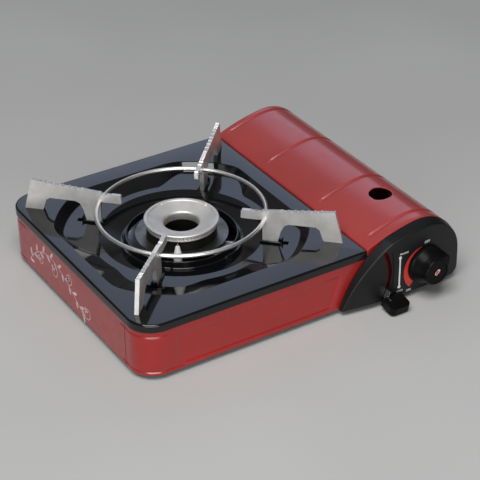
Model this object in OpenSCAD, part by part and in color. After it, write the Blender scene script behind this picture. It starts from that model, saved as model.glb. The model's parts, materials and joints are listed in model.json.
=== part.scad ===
// Portable butane cassette stove.
// Sheet-metal body with a pressed cooking deck on the left and a cartridge bay
// under a hinged, rounded lid on the right.  Millimetres, +Z up, X to the right
// as the user sees the controls, the control panel faces -Y.
// The sub-parts are drawn from the body's left, front, bottom corner and then
// moved so that the origin lies on the table under the middle of the stove.

/* [Body] */
// Width of the body from the left side to the lid's bulge
body_w = 347; // [346:0.5:350]
// Depth of the body from the front wall to the rear wall
body_d = 270; // [268:1:274]
// Height of the cooking deck above the body's underside
deck_z = 55; // [54:0.5:56]
// Width of the cooking deck
deck_w = 242; // [241:0.5:243]
// Radius of the two rounded left corners
corner_r = 25; // [20:1:28]
// Thickness of the sheet metal
sheet = 1; // [0.8:0.1:1.2]
// Height of the rubber feet
foot_h = 6; // [4:0.5:8]

/* [Cooking deck] */
// Height of the deck's turned-down skirt
skirt_h = 8; // [6:0.5:9]
// Depth of the well below the deck
well_depth = 8; // [7:0.5:9]
// Radius of the well's rim at the corners
well_rim_r = 123.7; // [120:0.5:124]
// Distance from the burner's centre to the well's left and right rim
well_half_x = 104; // [100:1:106]
// Distance from the burner's centre to the well's front and rear rim
well_half_y = 112; // [108:1:114]
// Radius of the round dish inside the well
dish_r = 80.5; // [78:0.5:82]
// Radius of the collar round the burner opening
collar_r = 55; // [53:0.5:56]

/* [Pan support] */
// Radius of the wire ring's centreline
ring_r = 81; // [80:0.5:82]
// Diameter of the ring's wire
wire_d = 4; // [3.6:0.2:4]
// Height of the ring above the body's underside
ring_z = 70.2; // [69.5:0.1:71]
// Thickness of the four arms
arm_t = 4; // [3:0.5:4]
// Depth of the coarse scallops in the arms' top edge
scallop_depth = 1.1; // [0.8:0.1:1.3]

/* [Burner] */
// Radius of the burner cap
cap_r = 36.3; // [36:0.1:37]
// Radius of the air hole through the burner
air_hole_r = 17.1; // [16:0.1:17.5]
// Number of flame slots
slot_count = 60; // [40:2:72]
// Width of one flame slot
slot_w = 1.3; // [1:0.1:1.5]

/* [Cartridge bay] */
// Radius of the lid over the cartridge
crown_r = 45; // [44.5:0.5:46]
// Radius of the lid's flatter left flank
flank_r = 200; // [195:1:205]
// Diameter of the cartridge that the bay holds
cartridge_d = 67; // [66:0.5:68]
// Length of the cartridge with its valve
cartridge_len = 190; // [184:1:195]
// Travel of the cartridge slide
slide_travel = 9; // [8:0.5:9]

/* [Controls] */
// Depth of the control panel in front of the body
panel_depth = 11.8; // [11:0.1:12.5]
// Radius of the panel's bowed front
panel_bow_r = 388; // [370:1:400]
// Radius of the knob's base
knob_r = 20; // [18:0.5:20]
// Radius of the knob's front face
knob_face_r = 13.5; // [12:0.5:14]
// Radius from the lever's shaft to the middle of its slot
lever_r = 48.5; // [47:0.5:49]
// Angle that the lever swings
lever_swing = 50; // [46:1:50]

/* [Hidden] */
$fn = 96;

eps = 0.01;
far = 400;
gap = 0.4;

// Body outlines
wall_inset = sheet;
wall_top = deck_z - sheet;
seam_y = 32;
seam_x = 32;
bay_x = deck_w;
rim_h = 8;

// Middle of the burner, well and pan support
centre = [121, 136];
well_z = deck_z - well_depth;
well_floor_r = well_rim_r - 10;
well_floor_half = 86.5;
dish_z = well_z - 7;
dish_floor_r = 66;
collar_z = well_z - 0.5;

// Crown and flank arcs of the lid, seen from the front; they share a tangent
crown_c = [body_w - crown_r, 26];
flank_tilt = 8;
flank_c = crown_c + (flank_r - crown_r) * [sin(flank_tilt), -cos(flank_tilt)];
lid_low = 15;
lid_lip = 5.5;
lid_gap = 0.8;
groove_y = [14.7, 93.5, 186, 262];
groove_w = 4;
groove_depth = 1.2;
groove_x = 253;
lid_hole = [299, 58.5];
lid_hole_r = 11.5;

// Lid hinge
hinge_axis = [346, 13.4];
hinge_y = [62, 214];
eye_r = 2.2;
pin_r = 1;
eye_clear = 0.05;
pan_side_x = hinge_axis.x - 0.4;
pan_side_z = 12.2;
// The model reaches from the deck's left edge to the hinge eyes
origin_x = (hinge_axis.x + eye_r) / 2;

// Cartridge, regulator and valve
cartridge_x = 302;
cartridge_z = 36;
inlet_y = 54;
inlet_r = 4.2;
inlet_len = 6.4;
seal_r = 5;
seal_y = 44;
valve_x = 302.4;
valve_z = 27;
spindle_r = 3;
regulator_y = [14, 46];
knob_front = -31;

// Lever
lever_pivot = [213.5, 28.5];
lever_rest = -25;
lever_plate_y = [4, 5.5];
stud_r = 3;
slot_reach = 31.5;
slot_half_w = 2.5;
crank_r = 28;
crank_pin_y = 18;
crank_pin_r = 1.5;
slide_plate_x = 246;
// Heights at which the crank's pin crosses the slide's cam plate
crank_cross = (slide_plate_x + 0.75 - lever_pivot.x) * tan(lever_swing / 2);
tab_t = 2;
tab_half = 4.5;
cap_at = [261, -14.5, 3.2];
cap_size = [22, 18, 8];
cap_tilt = 12;
// The model reaches from the thumb cap's front to the deck's rear edge
origin_y = (body_d + cap_at.y - cap_size.y * cos(cap_tilt)
    - cap_size.z / 2 * sin(cap_tilt)) / 2;

// Panel outline
panel_sweep_r = 117;
panel_sweep_c = [321.7, -37.8];
panel_bow_x = 286;
panel_wall = 2;
panel_taper = 2.6;

// Gas route
tube_angle = 142.5;
tube_z = 29;
tube_r = 8;
tube_end = 153;
shutter_at = 144;
nozzle_at = 168;
pipe_r = 2.5;

electrode_at = centre + [-23.6, -32.9];

red = [0.66, 0.12, 0.11];
black = [0.07, 0.07, 0.08];
enamel = [0.10, 0.11, 0.13];
steel = [0.66, 0.66, 0.64];
brass = [0.78, 0.66, 0.34];
zinc = [0.60, 0.62, 0.63];
rubber = [0.12, 0.12, 0.12];
ceramic = [0.95, 0.95, 0.92];

// ---------------------------------------------------------------- helpers

// Moves a sub-part from the body's corner to the shared origin
module placed() {
    translate([-origin_x, -origin_y, foot_h]) children();
}

// Extrudes a front-view outline from y0 to y1
module along_y(y0, y1) {
    translate([0, y1, 0]) rotate([90, 0, 0]) linear_extrude(y1 - y0) children();
}

// Turned part on an axis along Y through x, z, profile in (radius, y)
module turned_y(x, z) {
    translate([x, 0, z]) rotate([-90, 0, 0]) rotate_extrude() children();
}

module rod_y(x, z, r, y0, y1) {
    translate([x, y1, z]) rotate([90, 0, 0]) cylinder(r = r, h = y1 - y0);
}

module rod_x(y, z, r, x0, x1) {
    translate([x0, y, z]) rotate([0, 90, 0]) cylinder(r = r, h = x1 - x0);
}

// Rectangle whose two left corners are rounded
module left_round(x0, x1, y0, y1, r) {
    translate([x0 + r, y0]) square([x1 - x0 - r, y1 - y0]);
    translate([x0, y0 + r]) square([r, y1 - y0 - 2 * r]);
    for (y = [y0 + r, y1 - r]) translate([x0 + r, y]) circle(r);
}

// Body outline in plan, moved inwards by d
module body_plan(d, right = deck_w) {
    left_round(d, right, d, body_d - d, corner_r - d);
}

// Front-view outline of the bay: flank arc, crown arc and straight sides
module bay_outline(grow = 0, left = bay_x, low = 0) {
    up = [-sin(flank_tilt), cos(flank_tilt)] * far;
    intersection() {
        union() {
            intersection() {
                translate(flank_c) circle(flank_r + grow, $fn = 360);
                polygon([crown_c, crown_c + up, [0, far], [0, crown_c.y]]);
            }
            intersection() {
                translate(crown_c) circle(crown_r + grow, $fn = 180);
                polygon([crown_c, crown_c + up, [far + body_w, far],
                    [far + body_w, crown_c.y]]);
            }
            translate([0, low]) square([body_w + grow, crown_c.y - low]);
        }
        translate([left, low]) square([far, far]);
    }
}

// Frustum of the deck's well, with its walls moved outwards by g
module well_form(g) {
    rise = well_depth + eps;
    translate([centre.x, centre.y, well_z - g]) intersection() {
        cylinder(r1 = well_floor_r + g, r2 = well_rim_r + g, h = rise + g, $fn = 240);
        along_y(-far, far) polygon([[-well_floor_half - g, 0], [well_floor_half + g, 0],
            [well_half_x + g, rise + g], [-well_half_x - g, rise + g]]);
        rotate([0, 0, 90]) along_y(-far, far)
            polygon([[-well_floor_half - g, 0], [well_floor_half + g, 0],
                [well_half_y + g, rise + g], [-well_half_y - g, rise + g]]);
    }
}

// ------------------------------------------------------------- body shells

module base_pan() {
    vent_count = 7;
    color(steel) placed() difference() {
        union() {
            linear_extrude(sheet) {
                body_plan(wall_inset + sheet, right = 240);
                translate([239, wall_inset + sheet])
                    square([pan_side_x - 239, body_d - 2 * (wall_inset + sheet)]);
            }
            // upturned rim inside the walls
            linear_extrude(rim_h) difference() {
                body_plan(wall_inset + sheet, right = pan_side_x);
                body_plan(wall_inset + 2 * sheet, right = far + body_w);
            }
            // right-hand wall under the lid
            translate([pan_side_x - sheet, wall_inset + sheet, 0])
                cube([sheet, body_d - 2 * (wall_inset + sheet), pan_side_z]);
        }
        // notches for the hinge eyes
        for (y = hinge_y) translate([pan_side_x - 2, y - 13, 10.4]) cube([4, 26, 4]);
        // air slots under the burner and under the bay
        for (i = [0 : vent_count - 1], x = [60, 150])
            translate([x, 70 + 22 * i, -eps]) pan_slot(34);
        for (i = [0 : 2]) translate([258, 205 + 16 * i, -eps]) pan_slot(36);
        lever_slot(slot_half_w);
    }
}

module pan_slot(len, w = 5) {
    linear_extrude(sheet + 2 * eps) {
        translate([0, -w / 2]) square([len, w]);
        circle(w / 2);
        translate([len, 0]) circle(w / 2);
    }
}

// Left wall, bent round the rear left corner
module side_wall() {
    color(red) placed() difference() {
        linear_extrude(wall_top) intersection() {
            difference() {
                body_plan(wall_inset);
                body_plan(wall_inset + sheet, right = far);
            }
            union() {
                translate([0, seam_y]) square([corner_r + 1, body_d]);
                translate([0, body_d - corner_r]) square([seam_x, corner_r]);
            }
        }
        corner_grooves();
        translate([0, body_d, 0]) mirror([0, 1, 0]) corner_grooves();
    }
}

// Two stiffening grooves pressed round the front left corner of the walls
module corner_grooves() {
    for (g = groove_runs) translate([0, 0, g.z]) linear_extrude(g[3]) intersection() {
        difference() {
            body_plan(wall_inset - 1);
            body_plan(wall_inset + press_depth, right = far);
        }
        translate([-1, -1]) square([g.x + 1, g.y + 1]);
    }
}

// Front wall with its left corner, and the end plate of the bay
module front_wall() {
    color(red) placed() difference() {
        union() {
            linear_extrude(wall_top) intersection() {
                difference() {
                    body_plan(wall_inset);
                    body_plan(wall_inset + sheet, right = far);
                }
                translate([0, 0]) square([deck_w, seam_y - 0.3]);
            }
            along_y(wall_inset, wall_inset + sheet) {
                translate([deck_w - 1, 0]) square([2, wall_top - 1]);
                bay_outline(-sheet - gap);
            }
        }
        // long shallow field pressed into the wall
        along_y(wall_inset - eps, wall_inset + press_depth) polygon(wall_field);
        corner_grooves();
        lever_slot(slot_half_w);
        rod_y(valve_x, valve_z, 5, 0, 3);
        for (p = panel_boss) rod_y(p.x, p.y, 1.5, 0, 3);
        for (x = regulator_posts) rod_y(x, valve_z - 6, 1.6, 0, 3);
        skirt_notch(0);
    }
}

// Clearance in the end walls for the deck's skirt and the lid's lip
module skirt_notch(y) {
    translate([deck_w - sheet - 0.1, y, deck_z - skirt_h - 0.2]) cube([3.4, 3, skirt_h + 1]);
}

press_depth = 0.5;
// Corner grooves: reach to the right, reach to the rear, height above the base, width
groove_runs = [[30, 40, 40, 3.6], [46, 38.5, 2, 3.6]];

// Outline of the field pressed into the front wall, in (x, z)
field_r = 4;
wall_field = concat(
    corner_arc([41, 8.5], 180, 270),
    corner_arc([200.3, 8.5], 270, 342),
    corner_arc([209.3, 33], -18, 90),
    corner_arc([41, 33], 90, 180));

// Points of one rounded corner of the field
function corner_arc(hub, from, to, steps = 6) =
    [for (i = [0 : steps]) hub + field_r * [cos(from + (to - from) * i / steps),
        sin(from + (to - from) * i / steps)]];

module rear_wall() {
    vent_count = 9;
    color(red) placed() difference() {
        union() {
            translate([seam_x + 0.3, body_d - wall_inset - sheet, 0])
                cube([deck_w - seam_x, sheet, wall_top]);
            along_y(body_d - wall_inset - sheet, body_d - wall_inset)
                bay_outline(-sheet - gap);
        }
        for (i = [0 : vent_count - 1]) translate([60 + 18 * i, body_d, 14])
            rear_slot(24);
        for (i = [0 : 2]) translate([285 + 14 * i, body_d, 22]) rear_slot(24);
        skirt_notch(body_d - 3);
    }
}

module rear_slot(h, w = 5) {
    along_y(-4, 1) {
        translate([-w / 2, 0]) square([w, h]);
        for (z = [0, h]) translate([0, z]) circle(w / 2);
    }
}

// Pressed deck: skirt, well, dish, collar and the four hooks for the arms
module top_plate() {
    hook_r = 98.5;
    hook_w = 6;
    color(enamel) placed() difference() {
        union() {
            translate([0, 0, deck_z - skirt_h]) linear_extrude(skirt_h) difference() {
                body_plan(0);
                body_plan(sheet, right = deck_w - sheet);
            }
            translate([0, 0, deck_z - sheet]) linear_extrude(sheet) body_plan(0);
            well_form(sheet);
            dish_form();
        }
        difference() {
            well_form(0);
            hooks(hook_r, hook_w);
        }
        dish_cut();
        // slots that the hooks are bent out of
        for (a = [45 : 90 : 315]) translate([centre.x, centre.y, well_z]) rotate([0, 0, a])
            translate([hook_r + sheet, -hook_w / 2, -2]) cube([5, hook_w, 4]);
    }
}

module hooks(r, w) {
    for (a = [45 : 90 : 315]) translate([centre.x, centre.y, well_z]) rotate([0, 0, a])
        translate([r, -w / 2, -1]) cube([sheet, w, 6]);
}

module dish_form() {
    translate([centre.x, centre.y, 0]) rotate_extrude($fn = 180)
        polygon([[collar_r - 1 - sheet, dish_z - sheet], [dish_floor_r, dish_z - sheet],
            [dish_r, well_z - sheet], [dish_r, well_z - eps],
            [collar_r - 1 - sheet, well_z - eps]]);
}

module dish_cut() {
    translate([centre.x, centre.y, 0]) rotate_extrude($fn = 180) {
        // dish between the ledge and the collar
        polygon([[collar_r, dish_z], [dish_floor_r, dish_z], [dish_r, well_z],
            [dish_r, well_z + 1], [collar_r - 1, well_z + 1], [collar_r - 1, collar_z]]);
        // opening inside the collar
        translate([0, dish_z - 9]) square([collar_r - 1 - sheet, 12 + well_depth]);
        translate([0, collar_z]) square([collar_r, 4]);
    }
}

// Heat shield between the burner and the cartridge bay
module partition() {
    x = 238;
    color(zinc) placed() difference() {
        union() {
            translate([x, 22, sheet]) cube([sheet, body_d - 26, wall_top - sheet - 0.5]);
            translate([x - 9, 22, sheet]) cube([9, body_d - 40, sheet]);
        }
        translate([centre.x, centre.y, tube_z]) rotate([0, 0, tube_angle + 180])
            rod_x(0, 0, tube_r + 4, 0, 170);
        for (i = [0 : 5]) translate([x - 1, 95 + 26 * i, 38]) cube([4, 14, 4]);
        // passage of the igniter lead
        rod_x(45, 4, 2.5, x - 1, x + 2);
    }
}

// ------------------------------------------------------------------ burner

module at_centre() {
    placed() translate([centre.x, centre.y, 0]) children();
}

module burner_body() {
    color([0.20, 0.20, 0.21]) at_centre() difference() {
        rotate_extrude($fn = 120)
            polygon([[air_hole_r, 19], [24, 19], [31.5, 24], [34, 32], [34, 56],
                [31.5, 56], [31.5, 33], [29.5, 26.5], [23.5, 22], [18.6, 22],
                [18.6, 50], [air_hole_r, 50]]);
        // side inlet of the mixing tube
        rotate([0, 0, tube_angle + 180]) rod_x(0, tube_z, tube_r - 1, 25, 40);
    }
}

// Ring of flame slots between the body and the cap
module flame_ring() {
    color([0.45, 0.45, 0.44]) at_centre() difference() {
        translate([0, 0, 56]) cylinder(r = 34.4, h = 5);
        translate([0, 0, 55]) cylinder(r = 31.5, h = 7);
        for (i = [0 : slot_count - 1]) rotate([0, 0, i * 360 / slot_count])
            translate([30, -slot_w / 2, 57]) cube([6, slot_w, 3]);
    }
}

module burner_cap() {
    dimple_count = 4;
    color([0.60, 0.58, 0.55]) at_centre() difference() {
        rotate_extrude($fn = 120)
            polygon([[air_hole_r, 50], [18.6, 50], [18.6, 56], [20, 57], [31.5, 60.3],
                [31.5, 61], [cap_r, 61], [cap_r, 62.3], [cap_r - 0.6, 62.9],
                [32.8, 62.9], [32.2, 62], [19.8, 58.6], [18, 57.9], [air_hole_r, 56.6]]);
        for (i = [0 : dimple_count - 1]) rotate([0, 0, 100 + i * 360 / dimple_count])
            translate([31.6, 0, 63.4]) rotate([90, 0, 0]) cylinder(r = 2, h = 5, center = true);
    }
}

// Bright flange round the burner, just below the collar
module burner_flange() {
    color(steel) at_centre() difference() {
        rotate_extrude($fn = 120)
            polygon([[34, 44.6], [44.5, 45.8], [45, 46.8], [34, 45.6]]);
        // notch for the electrode
        translate(electrode_at - centre) {
            cylinder(r = 4.5, h = 60);
            rotate([0, 0, atan2(electrode_at.y - centre.y, electrode_at.x - centre.x)])
                translate([0, -4.5, 40]) cube([9, 9, 10]);
        }
    }
}

// Channel that carries the burner on the base pan
module burner_bracket() {
    color(zinc) at_centre() difference() {
        union() {
            translate([-45, -22, 18]) cube([90, 44, sheet]);
            for (x = [-45, 44]) translate([x, -22, 1]) cube([sheet, 44, 17 + eps]);
            for (x = [-57, 44]) translate([x, -22, 1]) cube([13, 44, sheet]);
        }
        translate([0, 0, 10]) cylinder(r = air_hole_r, h = 12);
    }
}

// ---------------------------------------------------------------- gas route

// Axis of the mixing tube, measured from the burner's centre
module on_tube_axis() {
    at_centre() translate([0, 0, tube_z]) rotate([0, 0, tube_angle + 180])
        rotate([0, 90, 0]) children();
}

module mixing_tube() {
    color(zinc) on_tube_axis() difference() {
        union() {
            translate([0, 0, 33]) rotate_extrude($fn = 60)
                polygon([[0, 0], [tube_r, 0], [tube_r, 60], [6.5, 78], [6.5, 88],
                    [tube_r + 2, 102], [tube_r + 2, tube_end - 33], [0, tube_end - 33]]);
        }
        translate([0, 0, 32]) rotate_extrude($fn = 60)
            polygon([[0, 0], [tube_r - 1, 0], [tube_r - 1, 60], [5.5, 79], [5.5, 89],
                [tube_r + 1, 103], [tube_r + 1, tube_end], [0, tube_end]]);
        // keeps the tube's end clear of the burner's round wall
        translate([tube_z, 0, 0]) rotate([0, -90, 0]) cylinder(r = 34, h = 80, center = true);
        // air ports
        for (a = [0 : 90 : 270]) rotate([0, 0, a + 45])
            translate([tube_r + 2, 0, shutter_at]) cube([6, 6, 9], center = true);
    }
}

// Sleeve that sets the air ports
module air_shutter() {
    inner = tube_r + 2.05;
    color(steel) on_tube_axis() translate([0, 0, shutter_at]) difference() {
        cylinder(r = inner + 1, h = 12, center = true);
        cylinder(r = inner, h = 14, center = true);
        for (a = [0 : 90 : 270]) rotate([0, 0, a + 30]) translate([tube_r + 2, 0, 0])
            cube([6, 6, 8], center = true);
    }
}

module gas_nozzle() {
    color(brass) on_tube_axis() translate([0, 0, nozzle_at - 13]) difference() {
        rotate_extrude() polygon([[0, 0], [1.6, 0], [3, 4], [3, 6], [5, 6], [5, 13], [0, 13]]);
        translate([0, 0, -1]) cylinder(r = 0.4, h = 6);
        translate([0, 0, 4]) cylinder(r = 1.6, h = 10);
    }
}

// Elbow from the regulator's outlet to the nozzle
module gas_pipe() {
    start = [centre.x + nozzle_at * cos(tube_angle + 180),
        centre.y + nozzle_at * sin(tube_angle + 180)];
    bend = 180 - tube_angle;
    bend_r = 12;
    run = 284 - start.x - bend_r * sin(bend);
    color(brass) placed() translate([start.x, start.y, tube_z]) rotate([0, 0, -bend]) {
        translate([0, bend_r, 0]) rotate([0, 0, -90]) rotate_extrude(angle = bend)
            translate([bend_r, 0]) circle(pipe_r);
        translate([0, bend_r, 0]) rotate([0, 0, bend]) translate([0, -bend_r, 0]) {
            // union nuts at the bend and at the regulator
            for (x = [-1, run - 4]) translate([x, 0, 0]) rotate([0, 90, 0])
                cylinder(r = 4.6, h = 4, $fn = 6);
            rod_x(0, 0, pipe_r - 0.2, 0, run);
        }
    }
}

// Die-cast pressure regulator on two posts, with the on-off valve in its nose
regulator_x = [284, 321];
regulator_posts = [288, 317];

module regulator_body() {
    color(zinc) placed() difference() {
        union() {
            along_y(regulator_y[0], regulator_y[1]) {
                translate([regulator_x[0], 16])
                    square([regulator_x[1] - regulator_x[0], 20]);
                translate([cartridge_x, cartridge_z]) circle(14);
            }
            rod_y(valve_x, valve_z, 6, regulator_y[0] - 2, regulator_y[0] + 1);
            for (x = regulator_posts) rod_y(x, valve_z - 6, 4, 2, regulator_y[0] + 1);
        }
        // bore for the valve spindle and the seat of the inlet
        rod_y(valve_x, valve_z, spindle_r + 0.05, 0, 32);
        rod_y(cartridge_x, cartridge_z, 6, seal_y, regulator_y[1] + 1);
        rod_y(cartridge_x, cartridge_z, 1.2, 30, seal_y + 1);
        for (x = regulator_posts) rod_y(x, valve_z - 6, 1.5, 1, 9);
        // weight-saving pocket in the top of the casting
        translate([regulator_x[0] + 3, 19, 28]) cube([6, 18, 30]);
    }
}

// Round diaphragm cover on the regulator's right side
module regulator_cover() {
    x = regulator_x[1];
    color(steel) placed() difference() {
        union() {
            rod_x(cover_at[0], cover_at[1], 17, x, x + 2);
            translate([x + 2, cover_at[0], cover_at[1]]) rotate([0, 90, 0])
                cylinder(r1 = 11, r2 = 8.5, h = 5);
        }
        rod_x(cover_at[0], cover_at[1], 1, x + 4, x + 8);
        for (a = [45 : 90 : 315])
            rod_x(cover_at[0] + cover_screw_r * cos(a), cover_at[1] + cover_screw_r * sin(a),
                1.6, x - 1, x + 3);
    }
}

cover_at = [30, 32];
cover_screw_r = 14.3;

// Pan-head screws of the diaphragm cover and of the regulator's two posts
module regulator_screws() {
    color(steel) placed() {
        for (a = [45 : 90 : 315]) translate([regulator_x[1],
                cover_at[0] + cover_screw_r * cos(a), cover_at[1] + cover_screw_r * sin(a)])
            rotate([0, 90, 0]) pan_screw(1.5, 2);
        for (x = regulator_posts) translate([x, 7, valve_z - 6]) rotate([90, 0, 0])
            pan_screw(1.5, 6);
    }
}

// Screw along +Z: shank of length len up to the seat, then the head
module pan_screw(r, len) {
    difference() {
        union() {
            cylinder(r = r, h = len + eps, $fn = 24);
            translate([0, 0, len]) cylinder(r = 2 * r, h = r * 0.7, $fn = 32);
            translate([0, 0, len + r * 0.7]) cylinder(r1 = 2 * r, r2 = 1.2 * r, h = r * 0.5,
                $fn = 32);
        }
        for (a = [0, 90]) translate([0, 0, len + r]) rotate([0, 0, a])
            cube([2.2 * r, 0.5 * r, r], center = true);
    }
}

// Turned inlet that the cartridge's valve pushes into
module cartridge_inlet() {
    color(brass) placed() difference() {
        turned_y(cartridge_x, cartridge_z)
            polygon([[0, seal_y], [6, seal_y], [6, inlet_y - 8],
                [9, inlet_y - 8], [9, inlet_y - 5], [7, inlet_y - 4], [7, inlet_y],
                [0, inlet_y]]);
        rod_y(cartridge_x, cartridge_z, inlet_r, seal_y - 1, inlet_y + 1);
        // pocket of the seal
        rod_y(cartridge_x, cartridge_z, seal_r, seal_y - 1, inlet_y - inlet_len);
    }
}

module inlet_seal() {
    color(rubber) placed() difference() {
        rod_y(cartridge_x, cartridge_z, seal_r, seal_y, inlet_y - inlet_len);
        rod_y(cartridge_x, cartridge_z, 2, seal_y - 1, inlet_y);
    }
}

// Plate whose top tab enters the notch of the cartridge's collar
module collar_guide() {
    color(steel) placed() difference() {
        union() {
            along_y(regulator_y[1], regulator_y[1] + 1.5) {
                translate([cartridge_x, cartridge_z]) circle(19);
                translate([cartridge_x - 3, cartridge_z + 10]) square([6, 14]);
            }
            translate([cartridge_x - 3, regulator_y[1], cartridge_z + 22.5])
                cube([6, 9, 1.5]);
        }
        rod_y(cartridge_x, cartridge_z, 9, regulator_y[1] - 1, regulator_y[1] + 3);
    }
}

// Axis of the igniter in y and z
piezo_at = [9.5, 10];

module piezo_igniter() {
    color([0.15, 0.18, 0.30]) placed() {
        rod_x(piezo_at[0], piezo_at[1], 5, 308, 336);
        rod_x(piezo_at[0], piezo_at[1], 2.5, 300, 308);
        translate([316, piezo_at[0] - 5, sheet]) cube([12, 10, 5]);
    }
}

module electrode_bracket() {
    color(zinc) placed() difference() {
        translate([electrode_at.x, electrode_at.y, 37 - sheet]) cylinder(r = 8, h = sheet);
        translate([electrode_at.x, electrode_at.y, 30]) cylinder(r = 3, h = 10);
        // round wall of the burner
        translate([centre.x, centre.y, 30]) cylinder(r = 34, h = 20, $fn = 120);
    }
}

module electrode_ceramic() {
    color(ceramic) placed() translate([electrode_at.x, electrode_at.y, 0]) difference() {
        rotate_extrude($fn = 48)
            polygon([[0, 30], [3, 30], [3, 37], [4.2, 37], [4.2, 46], [2, 55], [1.6, 55.5],
                [0, 55.5]]);
        translate([0, 0, 29]) cylinder(r = 0.65, h = 28);
    }
}

module electrode_wire() {
    color(steel) placed() translate([electrode_at.x, electrode_at.y, 0]) {
        translate([0, 0, 28]) cylinder(r = 0.6, h = 29.4);
        translate([0, 0, 57.4]) sphere(r = 0.6);
    }
}

// High-tension lead from the igniter to the electrode, clipped along the floor
lead_r = 1.3;
lead_points = [[336, 9.5, 10], [339, 9.5, 10], [341.4, 11.5, 8.4], [340, 17, 5], [334, 22, 4],
    [324, 26, 4], [312, 29, 4.4], [300, 32, 4.8], [286, 35, 5], [272, 38, 5], [258, 42, 4.6],
    [246, 44.4, 4.2], [238.5, 45, 4], [228, 47, 3.8], [214, 53, 2.6], [200, 62, 2.4],
    [186, 71, 2.4], [172, 79, 2.4], [156, 86, 2.4], [140, 91, 2.4], [124, 95, 2.4],
    [112, 98, 2.6], [104, 100, 4], [99.6, 101.8, 8], [97.8, 102.8, 13], [97.4, 103.1, 19],
    [97.4, 103.1, 24], [97.4, 103.1, 28]];

module igniter_lead() {
    color([0.85, 0.85, 0.82]) placed() swept_tube(lead_points, lead_r, 8);
}

// Tube of n sides along a route of points
module swept_tube(route, r, n) {
    last = len(route) - 1;
    heading = [for (i = [0 : last]) let (d = route[min(i + 1, last)] - route[max(i - 1, 0)])
        d / norm(d)];
    rings = [for (i = [0 : last]) let (t = heading[i],
            s = cross(t, abs(t.z) > 0.9 ? [1, 0, 0] : [0, 0, 1]),
            side = s / norm(s), up = cross(side, t))
        for (k = [0 : n - 1]) route[i] + r * (cos(360 * k / n) * side + sin(360 * k / n) * up)];
    skin = [for (i = [0 : last - 1], k = [0 : n - 1]) let (m = (k + 1) % n)
        [i * n + k, (i + 1) * n + k, (i + 1) * n + m, i * n + m]];
    caps = [[for (k = [0 : n - 1]) k], [for (k = [n - 1 : -1 : 0]) last * n + k]];
    polyhedron(rings, concat(skin, caps));
}

// ----------------------------------------------------------------- controls

// Solid inside the panel's skin: tapered rim, bowed front, moved inwards by d
module panel_form(d, back) {
    depth = panel_depth + 3;
    up = [-sin(flank_tilt), cos(flank_tilt)] * far;
    taper = panel_taper * depth / panel_depth;
    intersection() {
        // sweeping left edge
        cone_y(panel_sweep_c, panel_sweep_r - d, taper, depth, back, 360);
        union() {
            intersection() {
                cone_y(flank_c, flank_r - d, taper, depth, back, 360);
                along_y(-depth, back)
                    polygon([crown_c, crown_c + up, [0, far], [0, crown_c.y]]);
            }
            intersection() {
                cone_y(crown_c, crown_r - d, taper, depth, back, 180);
                along_y(-depth, back) polygon([crown_c, crown_c + up,
                    [far + body_w, far], [far + body_w, crown_c.y]]);
            }
            translate([0, 0, d]) linear_extrude(crown_c.y - d)
                polygon([[150, back], [body_w - d, back], [body_w - d, 0],
                    [body_w - d - taper, -depth], [150, -depth]]);
        }
        // bowed front
        translate([panel_bow_x, panel_bow_r - panel_depth, -1])
            cylinder(r = panel_bow_r - d, h = 100, $fn = 720);
    }
}

// Cylinder behind y = 0 that narrows by taper towards the front
module cone_y(c, r, taper, depth, back, facets) {
    translate([c.x, 0, c.y]) rotate([90, 0, 0])
        cylinder(r1 = r, r2 = r - taper, h = depth, $fn = facets);
    if (back > 0)
        translate([c.x, back, c.y]) rotate([90, 0, 0]) cylinder(r = r, h = back, $fn = facets);
}

module control_panel() {
    foot_r = 8;
    boss_r = 4;
    color(black) placed() difference() {
        union() {
            difference() {
                panel_form(0, 0);
                panel_form(panel_wall, 1);
            }
            // bosses that stand on the front wall
            for (p = panel_boss) intersection() {
                rod_y(p.x, p.y, boss_r, -12, wall_inset);
                panel_form(panel_wall - 0.5, wall_inset + 1);
            }
        }
        // rounded lower right corner
        along_y(-20, 2) difference() {
            translate([body_w - foot_r, -1]) square([foot_r + 1, foot_r + 1]);
            translate([body_w - foot_r, foot_r]) circle(foot_r);
        }
        // sunk track round the lever's slot
        difference() {
            along_y(-20, -5) translate(track_c) intersection() {
                difference() {
                    circle(track_r + track_w, $fn = 180);
                    circle(track_r, $fn = 180);
                }
                polygon([[0, 0], 200 * [cos(track_reach), -sin(track_reach)],
                    200 * [cos(track_reach), sin(track_reach)]]);
            }
            panel_form(track_depth, 1);
        }
        lever_slot(slot_half_w);
        rod_y(valve_x, valve_z, spindle_r + 1.5, -20, 2);
        for (p = panel_boss) rod_y(p.x, p.y, 1.4, -4, 2);
    }
}

panel_boss = [[232, 24], [334, 46], [338, 16], [276, 52]];
track_c = [149.5, 28];
track_r = 100;
track_w = 16.5;
track_reach = 12;
track_depth = 0.8;

// Curved slot that the lever's tab travels in
module lever_slot(half_w) {
    along_y(-20, 3) translate(lever_pivot) intersection() {
        difference() {
            circle(lever_r + half_w, $fn = 180);
            circle(lever_r - half_w, $fn = 180);
        }
        polygon([[0, 0], 80 * [cos(slot_reach), -sin(slot_reach)],
            80 * [cos(slot_reach), sin(slot_reach)]]);
    }
}

// Screws that hold the panel from inside the body
module panel_screws() {
    color(steel) placed() for (p = panel_boss) translate([p.x, -4, p.y])
        rotate([-90, 0, 0]) pan_screw(1.4, 6);
}

module valve_spindle() {
    color(brass) placed() difference() {
        rod_y(valve_x, valve_z, spindle_r, -24, 31);
        translate([valve_x - 4, -25, valve_z + 1.8]) cube([8, 12, 3]);
    }
}

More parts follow.
